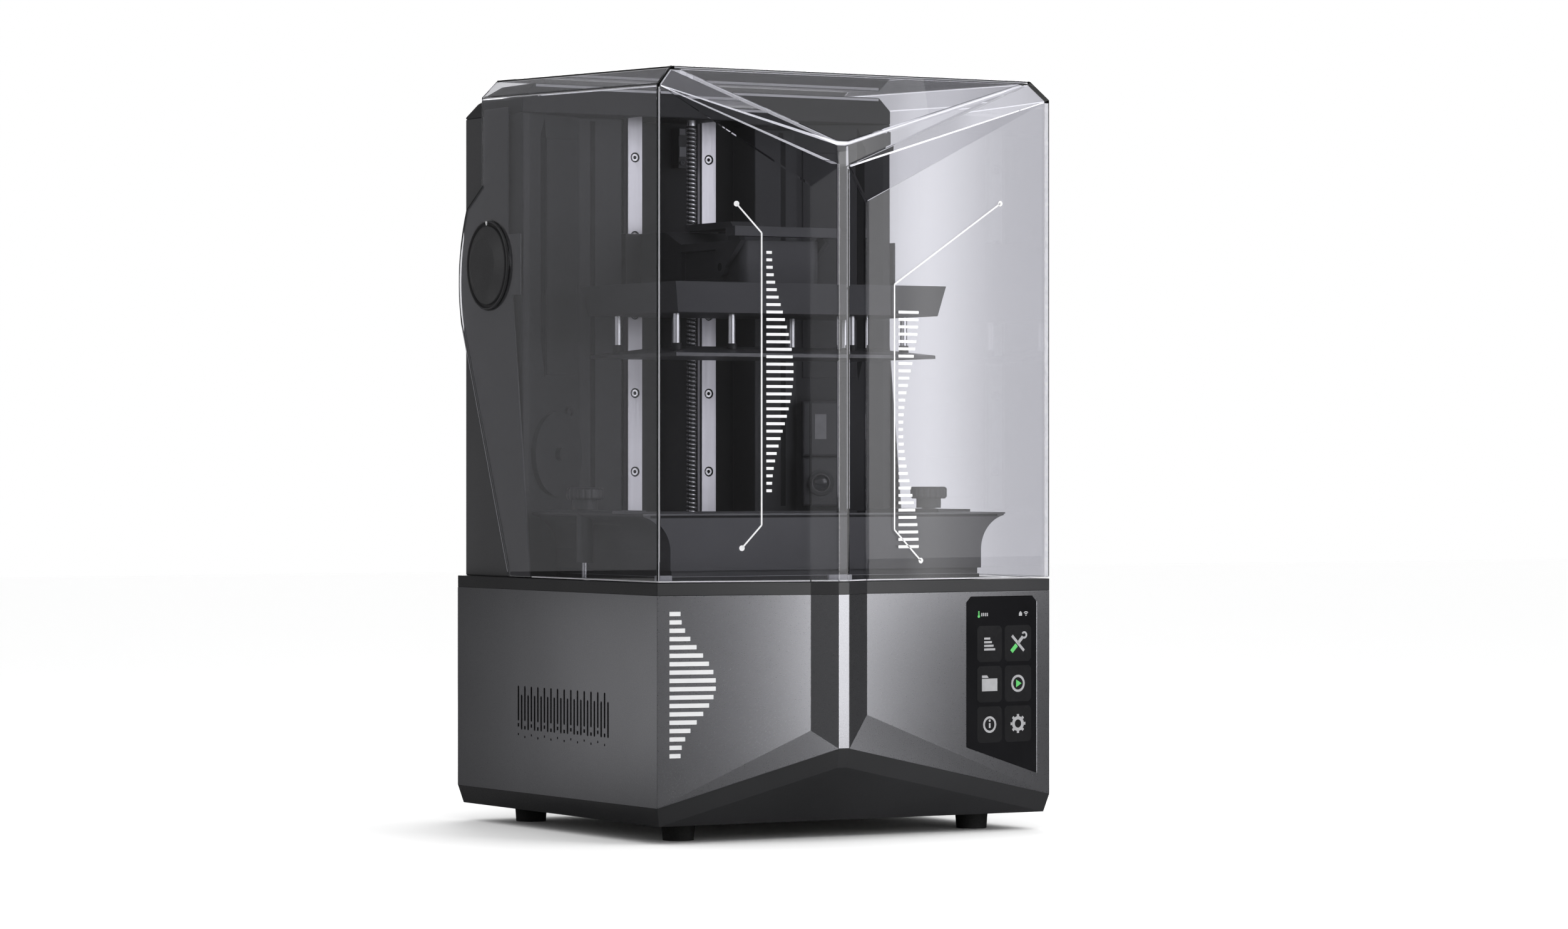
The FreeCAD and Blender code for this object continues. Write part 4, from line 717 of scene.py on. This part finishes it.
def drawn(signs):
    outlines = []
    for name, strokes in signs.items():
        x, z = signCentres[name]
        for draw, *sizes in strokes:
            outlines += [[(x + dx, z + dz) for dx, dz in outline] for outline in draw(*sizes)]
    return outlines


screenPieces = {"screenTiles": (tiles, "tileGlass", 1), "screenSigns": (drawn(paleSigns), "screenPale", 2),
                "screenAccents": (drawn(greenSigns), "screenGreen", 2)}
for name, (outlines, finish, layers) in screenPieces.items():
    thickness = layers * screenLook["lift"]
    panelPiece(name, "right", outlines, screenLook["out"], thickness, finish)
print("screen drawn")

# Trim on the slanted inner walls: raised panel, dark strip with pointed ends, dark seam, screw boss
wallLook = {"start": (92.0, 105.0), "lean": 29.04, "sunk": 0.3, "panel": (5.0, 44.6, 330.0, 504.0),
            "proud": 1.0, "panelEdge": 0.4, "channel": (45.0, 51.8, 342.0, 519.0), "point": 14.0, "tip": 1.0,
            "seam": (78.6, 82.8, 233.0, 519.0), "dark": 0.45, "darkEdge": 0.1, "boss": (15.0, 303.0),
            "bossSides": 20, "bossProfile": [(0, -0.3), (4.4, -0.3), (4.4, 2.2), (3.8, 2.8), (2.6, 2.8),
                                             (2.2, 1.0), (0, 1.0)]}
leanCos, leanSin = math.cos(math.radians(wallLook["lean"])), math.sin(math.radians(wallLook["lean"]))


def onWall(sign, along, height, out):
    x0, y0 = wallLook["start"]
    x = x0 + along * leanCos - out * leanSin
    return Vector((sign * x, y0 - along * leanSin - out * leanCos, height)) * mm


def wallOut(sign, distance):
    return Vector((-sign * leanSin, -leanCos, 0)) * distance * mm


def wallMatrix(sign, along, height, out):  # local Z points out of the wall
    turn = wallOut(sign, 1).to_track_quat("Z", "Y").to_matrix().to_4x4()
    return Matrix.Translation(onWall(sign, along, height, out)) @ turn


look = wallLook
for sign, side in bothSides:
    panel = [onWall(sign, *spot, -look["sunk"]) for spot in rect(*look["panel"])]
    lift = wallOut(sign, look["sunk"] + look["proud"])
    prismPiece("wallPanel" + side, [panel], lift, "housingPlastic", edge=look["panelEdge"])
    (a0, a1, z0, z1), point, tip = look["channel"], look["point"], look["tip"]
    ends = [(a0, z0), (a0 + tip, z0 - point), (a1, z0 + point), (a1, z1 - point), (a0 + tip, z1),
            (a0, z1 - point)]
    channel = [onWall(sign, *spot, -look["sunk"]) for spot in ends]
    lift = wallOut(sign, look["dark"])
    prismPiece("wallChannel" + side, [channel], lift, "slideBlack", edge=look["darkEdge"])
    seamBack = look["start"][1] + look["sunk"]
    seam = [(sign * x, z) for x, z in rect(*look["seam"])]
    slabPiece("wallSeam" + side, yAxis, seamBack, [seam], -look["dark"], "slideBlack",
              edge=look["darkEdge"])
turnedPiece("wallBoss", lathe(look["bossProfile"], look["bossSides"]), wallMatrix(-1, *look["boss"], 0),
            "housingPlastic")

# Painted highlight along the brow's upper edge: a pale strip
browLook = {"half": 145.0,
            "section": [(72.75, 539.0), (72.75, 540.8), (73.6, 541.45), (74.8, 541.45), (74.8, 540.0)]}
look = browLook
slabPiece("browEdge", xAxis, -look["half"], [look["section"]], 2 * look["half"], "edgeShine")

# End stop: two pale contacts and a screw on its front
stopLook = {"sunk": 0.2, "proud": 0.6, "edge": 0.15, "screw": (5.4, 491.8), "screwSides": 18,
            "contacts": ((3.3, 8.3, 512.8, 517.6), (3.3, 9.2, 496.4, 504.0)),
            "screwProfile": [(0, -0.2), (2.0, -0.2), (2.0, 0.9), (1.6, 1.3), (0.8, 1.3), (0.8, 0.6),
                             (0, 0.6)]}
look = stopLook
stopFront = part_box("end_stop")[0].y / mm
contacts = [rect(*contact) for contact in look["contacts"]]
slabPiece("stopContacts", yAxis, stopFront + look["sunk"], contacts, -(look["sunk"] + look["proud"]),
          "plateAluminium", edge=look["edge"])
x, z = look["screw"]
place = Matrix.Translation(Vector((x, stopFront, z)) * mm) @ facingFront
turnedPiece("stopScrew", lathe(look["screwProfile"], look["screwSides"]), place, "castAluminium")

# Camera: a domed glass in the lens ring, a fine bright ring round it and a bezel
cameraLook = {"along": 18.5, "height": 250.5, "out": 20.0}
lensPieces = {
    "lensGlass": {"profile": [(0, 1.9), (5.9, 1.25), (6.0, 1.5), (4.6, 2.5), (2.6, 3.1), (0, 3.3)],
                  "sides": 28, "finish": "lensCoat", "slot": "black_glass"},
    "lensRing": {"profile": [(6.35, 2.4), (6.95, 2.6), (6.95, 4.0), (6.6, 4.15), (6.3, 4.0), (6.35, 2.4)],
                 "sides": 28, "finish": "plateAluminium", "slot": "black_glass"},
    "lensBezel": {"profile": [(9.05, -0.5), (10.1, -0.5), (10.1, 0.6), (9.8, 0.9), (9.05, 0.9),
                              (9.05, -0.5)],
                  "sides": 36, "finish": "castAluminium", "slot": "housing"},
}
lensPlace = wallMatrix(1, cameraLook["along"], cameraLook["height"], cameraLook["out"])
for name, look in lensPieces.items():
    turnedPiece(name, lathe(look["profile"], look["sides"]), lensPlace, look["finish"])

# Hinge hub: small pale mark on the rim
hubLook = {"y": 119.0, "z": 411.0, "face": 163.7, "sunk": 0.3, "thick": 0.5, "inner": 29.4, "outer": 32.3,
           "innerHalf": 0.5, "outerHalf": 1.5}
look = hubLook
corners = ((-look["innerHalf"], look["inner"]), (look["innerHalf"], look["inner"]),
           (look["outerHalf"], look["outer"]), (-look["outerHalf"], look["outer"]))
wedge = [(look["y"] + along, look["z"] + out) for along, out in corners]
for sign, side in bothSides:
    slabPiece("hubMark" + side, xAxis, sign * (look["face"] - look["sunk"]), [wedge], sign * look["thick"],
              "whiteInk")

# Painted highlights: pale strips just under the lid's outer face: foot, upright corners, roof edge and tails
rimLook = {"plan": [(-162.2, 50.0), (-162.2, -139.3), (-51.5, -161.2), (-33.1, -169.0), (-24.7, -169.0),
                    (-2.5, -156.0), (162.2, -139.3), (162.2, 50.0)],
           "sunk": 0.15, "deep": 0.5, "low": 182.6, "high": 183.5, "top": 526.0, "inset": 0.5,
           "leftCorner": (0.9, 1.7), "rightCorner": (1.0, 4.6), "tail": ((88.0, 182.5), (164.0, 368.6)),
           "tailInset": 3.0, "tailBand": (0.9, 1.7), "crest": ((-134.3, 541.7), (-167.0, 491.0)),
           "crestHalf": 146.0, "crestBand": (1.0, 2.0)}


def band(start, end, first, last, near, far):
    # Between two distances along a line and two depths inward from it
    run = (end - start).normalized()
    inward = Vector((-run.y, run.x))
    return [start + run * along + inward * depth for along, depth in rect(first, last, near, far)]


def lidStrip(start, end, first, last):
    return band(start, end, first, last, rimLook["sunk"], rimLook["deep"])


look = rimLook
plan = [Vector(point) for point in look["plan"]]
rims = [lidStrip(a, b, look["inset"], (b - a).length - look["inset"]) for a, b in zip(plan, plan[1:])]
slabPiece("lidRim", zAxis, look["low"], rims, look["high"] - look["low"], "edgeShine", "lid")
leftFace, rightFace = plan[1:3], plan[5:7]
leftGlint = lidStrip(*leftFace, *look["leftCorner"])
rightRun = (rightFace[1] - rightFace[0]).length
rightGlint = lidStrip(*rightFace, *(rightRun - along for along in look["rightCorner"][::-1]))
for side, glint, finish in (("Left", leftGlint, "edgeShine"), ("Right", rightGlint, "edgeGlow")):
    slabPiece("lidGlint" + side, zAxis, look["low"], [glint], look["top"] - look["low"], finish,
              "lid")
crest = lidStrip(*(Vector(point) for point in look["crest"]), *look["crestBand"])
slabPiece("lidCrest", xAxis, -look["crestHalf"], [crest], 2 * look["crestHalf"], "edgeShine",
          "lid")
low, high = (Vector(point) for point in look["tail"])
tail = band(low, high, look["tailInset"], (high - low).length - look["tailInset"], *look["tailBand"])
tailFace = abs(look["plan"][0][0]) - look["deep"]
for sign, side in bothSides:
    slabPiece("lidTail" + side, xAxis, sign * tailFace, [tail], sign * (look["deep"] - look["sunk"]),
              "edgeShine", "lid")

# Vat rim: a pale bead round its upper edge, over a dark strip that is painted shadow
beadLook = {"half": 149.5, "front": 98.4, "back": 70.0, "low": 228.3, "high": 229.6, "wide": 0.9,
            "edge": 0.15, "shadowHalf": 143.0, "shadowLow": 226.6, "shadowSunk": 0.2, "shadowProud": 0.15}
look = beadLook
half, wide, frontInner = look["half"], look["wide"], look["wide"] - look["front"]
bars = [(-half, half, -look["front"], frontInner), (-half, wide - half, frontInner, look["back"]),
        (half - wide, half, frontInner, look["back"])]
bead = [rect(*sizes) for sizes in bars]
slabPiece("vatBead", zAxis, look["low"], bead, look["high"] - look["low"], "plateAluminium",
          edge=look["edge"])
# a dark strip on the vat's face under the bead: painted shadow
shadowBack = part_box("resin_vat")[0].y / mm + look["shadowSunk"]
groove = rect(-look["shadowHalf"], look["shadowHalf"], look["shadowLow"], look["low"])
slabPiece("vatGroove", yAxis, shadowBack, [groove], -(look["shadowSunk"] + look["shadowProud"]), "slideBlack")

# Vat knobs: flat fluted heads on a narrower neck, with stem and stud below
knobLook = {"radius": 13.6, "low": 239.0, "high": 247.8, "round": 1.4, "neck": 9.2, "neckLow": 232.0,
            "stem": 5.0, "stemLow": 231.6, "stud": 2.4, "flutes": 18, "flute": 0.9, "fluteShape": 3,
            "rimBand": 0.1, "steps": 144}
look = knobLook
rim, rounded = look["radius"], look["radius"] - look["round"]
for side in ("left", "right"):
    low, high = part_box("vat_knob_" + side)
    studLow = low.z / mm
    knobProfile = [(0, studLow), (look["stud"], studLow), (look["stud"], look["stemLow"]),
                   (look["stem"], look["stemLow"]), (look["stem"], look["neckLow"]),
                   (look["neck"], look["neckLow"]), (look["neck"], look["low"]), (rounded, look["low"]),
                   (rim, look["low"] + look["round"]), (rim, look["high"] - look["round"]),
                   (rounded, look["high"]), (0, look["high"])]
    shape = lathe(knobProfile, look["steps"])
    for vert in shape.verts:
        spot = Vector((vert.co.x, vert.co.y))
        if spot.length > (rim - look["rimBand"]) * mm:  # flutes round the rim
            wave = max(0, math.cos(look["flutes"] * math.atan2(spot.y, spot.x)))
            dip = wave ** look["fluteShape"] * look["flute"] * mm
            vert.co.xy = spot * (1 - dip / spot.length)
    place = Matrix.Translation(Vector(((low.x + high.x) / 2, (low.y + high.y) / 2, 0)))
    knob = turnedPiece(side + "VatKnob", shape, place, "knobPlastic", "knob_" + side)
    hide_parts("vat_knob_" + side)

# Clear blocks in the lid's lower corners and polished studs under the vat sleeves
blockLook = {"low": 182.9, "high": 187.2, "edge": 0.5,
             "corner": [(-159.0, -136.6), (-150.0, -138.4), (-150.0, -134.6), (-159.0, -132.6)],
             "nose": [(-38.0, -163.2), (-33.0, -165.6), (-24.6, -165.6), (-21.0, -163.6), (-21.0, -160.2),
                      (-38.0, -160.2)]}
studLook = {"x": 143.7, "y": -1.6, "low": 182.4, "high": 193.8, "radius": 2.45, "sides": 20}
look = blockLook
slabPiece("lidBlocks", zAxis, look["low"], [look["corner"], look["nose"]], look["high"] - look["low"],
          "frostClear", "lid", look["edge"])
look = studLook
length = look["high"] - look["low"]
studProfile = [(0, 0), (look["radius"], 0), (look["radius"], length), (0, length)]
for sign, side in ((-1, "left"), (1, "right")):
    place = Matrix.Translation(Vector((sign * look["x"], look["y"], look["low"])) * mm)
    stud = lathe(studProfile, look["sides"])
    turnedPiece(side + "StudShine", stud, place, "chrome", "knob_" + side)
print("trim set")

# Studio: white around, softer and darker where the polished faces look. Limits are of a ray's direction
studioLook = {"diffuse": 0.5, "mirrored": 0.09, "right": (0.2, 1), "rightTone": 0.15, "left": (-0.95, -0.7),
              "leftTone": 0.4, "ringStart": (0.25, 0.38), "ringEnd": (0.6, 0.7),
              "rings": (((0.12, 0.25), 1.0), ((0.36, 0.46), 1.6), ((0.58, 0.66), -2.6)),
              "behind": (((0.519, 0.524), 0.26), ((0.526, 0.54), -0.34), ((0.56, 0.6), 0.08)),
              "bounced": 0.5, "underLid": 2.5}
echoLimits = {"end": (0.72, 0.9), "depth": (-0.55, -0.3), "back": (0.3, 0.6), "facet": (-0.2, -0.08)}
echoes = {
    "lid": {"base": 0.08, "gain": 1.5, "start": (0.15, 0.35), "top": (0.35, 0.5), "back": 0.4, "facet": 0.9},
    "pieces": {"base": 0.2, "gain": 1.9, "start": (-0.35, -0.05), "top": (0.5, 0.7), "back": 0.0,
               "facet": 0.0},
}


def raysOf(tree):
    path = tree.nodes.new("ShaderNodeLightPath").outputs
    seen = maths(tree, "MAXIMUM", path["Is Camera Ray"], path["Is Transmission Ray"])
    unlit = maths(tree, "LESS_THAN", path["Diffuse Depth"], studioLook["bounced"])
    mirrored = maths(tree, "GREATER_THAN", path["Glossy Depth"], studioLook["bounced"])
    return path, seen, unlit, mirrored


def stepped(tree, socket, steps):
    return added(tree, *(ranged(tree, socket, limits, 0, gain) for limits, gain in steps))


world = bpy.data.worlds.new("studio")
scene.world = world
world.use_nodes = True
tree = world.node_tree
path, seen, unlit, mirrored = raysOf(tree)
across, back, up = axesOf(tree, "TexCoord", "Generated")
look = studioLook
side = ranged(tree, across, look["right"], 1, look["rightTone"])
ring = times(tree, stepped(tree, up, look["rings"]), ranged(tree, across, look["ringStart"], 0, 1),
             ranged(tree, across, look["ringEnd"], 1, 0))
leftGlow = ranged(tree, across, look["left"], look["leftTone"], 0)
polished = added(tree, times(tree, side, look["mirrored"]), ring, leftGlow)


# What the lid's second surface and the pieces under it mirror: a bright front right, the rest dim
def echoTone(look):
    tone = added(tree, ranged(tree, across, look["start"], 0, look["gain"]),
                 ranged(tree, across, echoLimits["facet"], look["facet"], 0))
    tone = times(tree, tone, ranged(tree, across, echoLimits["end"], 1, 0),
                 ranged(tree, back, echoLimits["depth"], 1, 0), ranged(tree, up, look["top"], 1, 0))
    return added(tree, tone, ranged(tree, back, echoLimits["back"], 0, look["back"]), look["base"])


under = maths(tree, "GREATER_THAN", path["Transmission Depth"], look["underLid"])
inner = mixed(tree, under, echoTone(echoes["pieces"]), echoTone(echoes["lid"]))

# White where the camera sees it, the tones above in reflections, even light on matt faces
behind = stepped(tree, across, look["behind"])  # a soft change of tone, seen only through the lid
lit = added(tree, times(tree, behind, path["Is Transmission Ray"]), 1)
view = times(tree, seen, unlit, mixed(tree, mirrored, inner, lit))
gloss = times(tree, path["Is Glossy Ray"], polished)
even = times(tree, oneMinus(tree, maths(tree, "MAXIMUM", seen, path["Is Glossy Ray"])), look["diffuse"])
background = tree.nodes["Background"]
background.inputs["Color"].default_value = (1, 1, 1, 1)
tree.links.new(added(tree, view, gloss, even), background.inputs["Strength"])

# Lamps, in metres and watts: strips that the polished faces mirror, and two soft fills
lampColumns = ("place", "aim", "size", "power", "fade", "least")
lampRows = {
    "leftStrip": ((0.1, -0.62, 0.25), (-0.08, -0.15, 0.2), (0.1, 0.7), 1.22),
    "rightStrip": ((0.225, -0.54, 0.25), (-0.01, -0.16, 0.2), (0.18, 0.7), 0.9),
    "rightFade": ((0.425, -0.512, 0.4025), (0.06, -0.15, 0.4025), (0.142, 0.475), 0.76, (0.18, 0.36), 0.5),
    "backStrip": ((-0.54, 0.45, 0.085), (-0.16, -0.2, 0.1), (0.25, 0.17), 0.06),
    "rearFill": ((0.9, 1.6, 1.1), (0, 0, 0.25), (1.2, 1.2), 12.0),
    "topSoft": ((0.1, -0.3, 2.4), (0, 0, 0.3), (1.8, 1.8), 8.0),
}
for name, row in lampRows.items():
    lamp = dict(zip(lampColumns, row))
    data = bpy.data.lights.new(name, "AREA")
    data.shape = "RECTANGLE"
    data.size, data.size_y = lamp["size"]
    data.energy = lamp["power"]
    if "fade" in lamp:  # brightest near one end
        data.use_nodes = True
        tree = data.node_tree
        along = axesOf(tree, "NewGeometry", "Parametric")["X"]
        fade = times(tree, ranged(tree, along, (0, 1), 1, 0),
                     ranged(tree, along, lamp["fade"], lamp["least"], 1))
        tree.links.new(fade, tree.nodes["Emission"].inputs["Strength"])
    light = bpy.data.objects.new(name, data)
    light.location = lamp["place"]
    light.rotation_euler = (Vector(lamp["aim"]) - Vector(lamp["place"])).to_track_quat("-Z", "Y").to_euler()
    light.visible_camera = False
    light.visible_transmission = False
    scene.collection.objects.link(light)

# Pale floor that stays white where no shadow falls, and is dimmer in the polished faces
floorLook = {"colour": (0.92, 0.92, 0.92), "spread": 0.005, "cloud": 2, "rough": 0.7, "specular": 0.1,
             "glow": 0.53, "half": 8.0, "mirrored": 0.14, "shade": 0.22, "shadeSamples": 8, "soften": 1.25}
look = floorLook
half = look["half"]
floorMesh = bpy.data.meshes.new("floor")
floorMesh.from_pydata([(x, y, 0) for x, y in rect(-half, half, -half, half)], [], [(0, 1, 2, 3)])
floor = bpy.data.objects.new("floor", floorMesh)
scene.collection.objects.link(floor)
floorMaterial, tree, shader = newMaterial("paleFloor")
path, seen, unlit, mirrored = raysOf(tree)
tint = spreadColour(tree, noiseFrom(tree, look["cloud"]), look["colour"], look["spread"])
dim = oneMinus(tree, times(tree, mirrored, 1 - look["mirrored"]))
tree.links.new(dimmed(tree, tint, dim), shader.inputs["Base Color"])
setInputs(shader, {"Roughness": look["rough"], "Specular IOR Level": look["specular"],
                   "Emission Color": (1, 1, 1, 1)})
openSky = tree.nodes.new("ShaderNodeAmbientOcclusion")  # soft shade under the printer
openSky.inputs["Distance"].default_value = look["shade"]
openSky.samples = look["shadeSamples"]
glow = times(tree, maths(tree, "POWER", openSky.outputs["AO"], look["soften"]), look["glow"])
shown = times(tree, seen, unlit, oneMinus(tree, mirrored))
tree.links.new(times(tree, shown, glow), shader.inputs["Emission Strength"])
floorMesh.materials.append(floorMaterial)
print("studio ready")
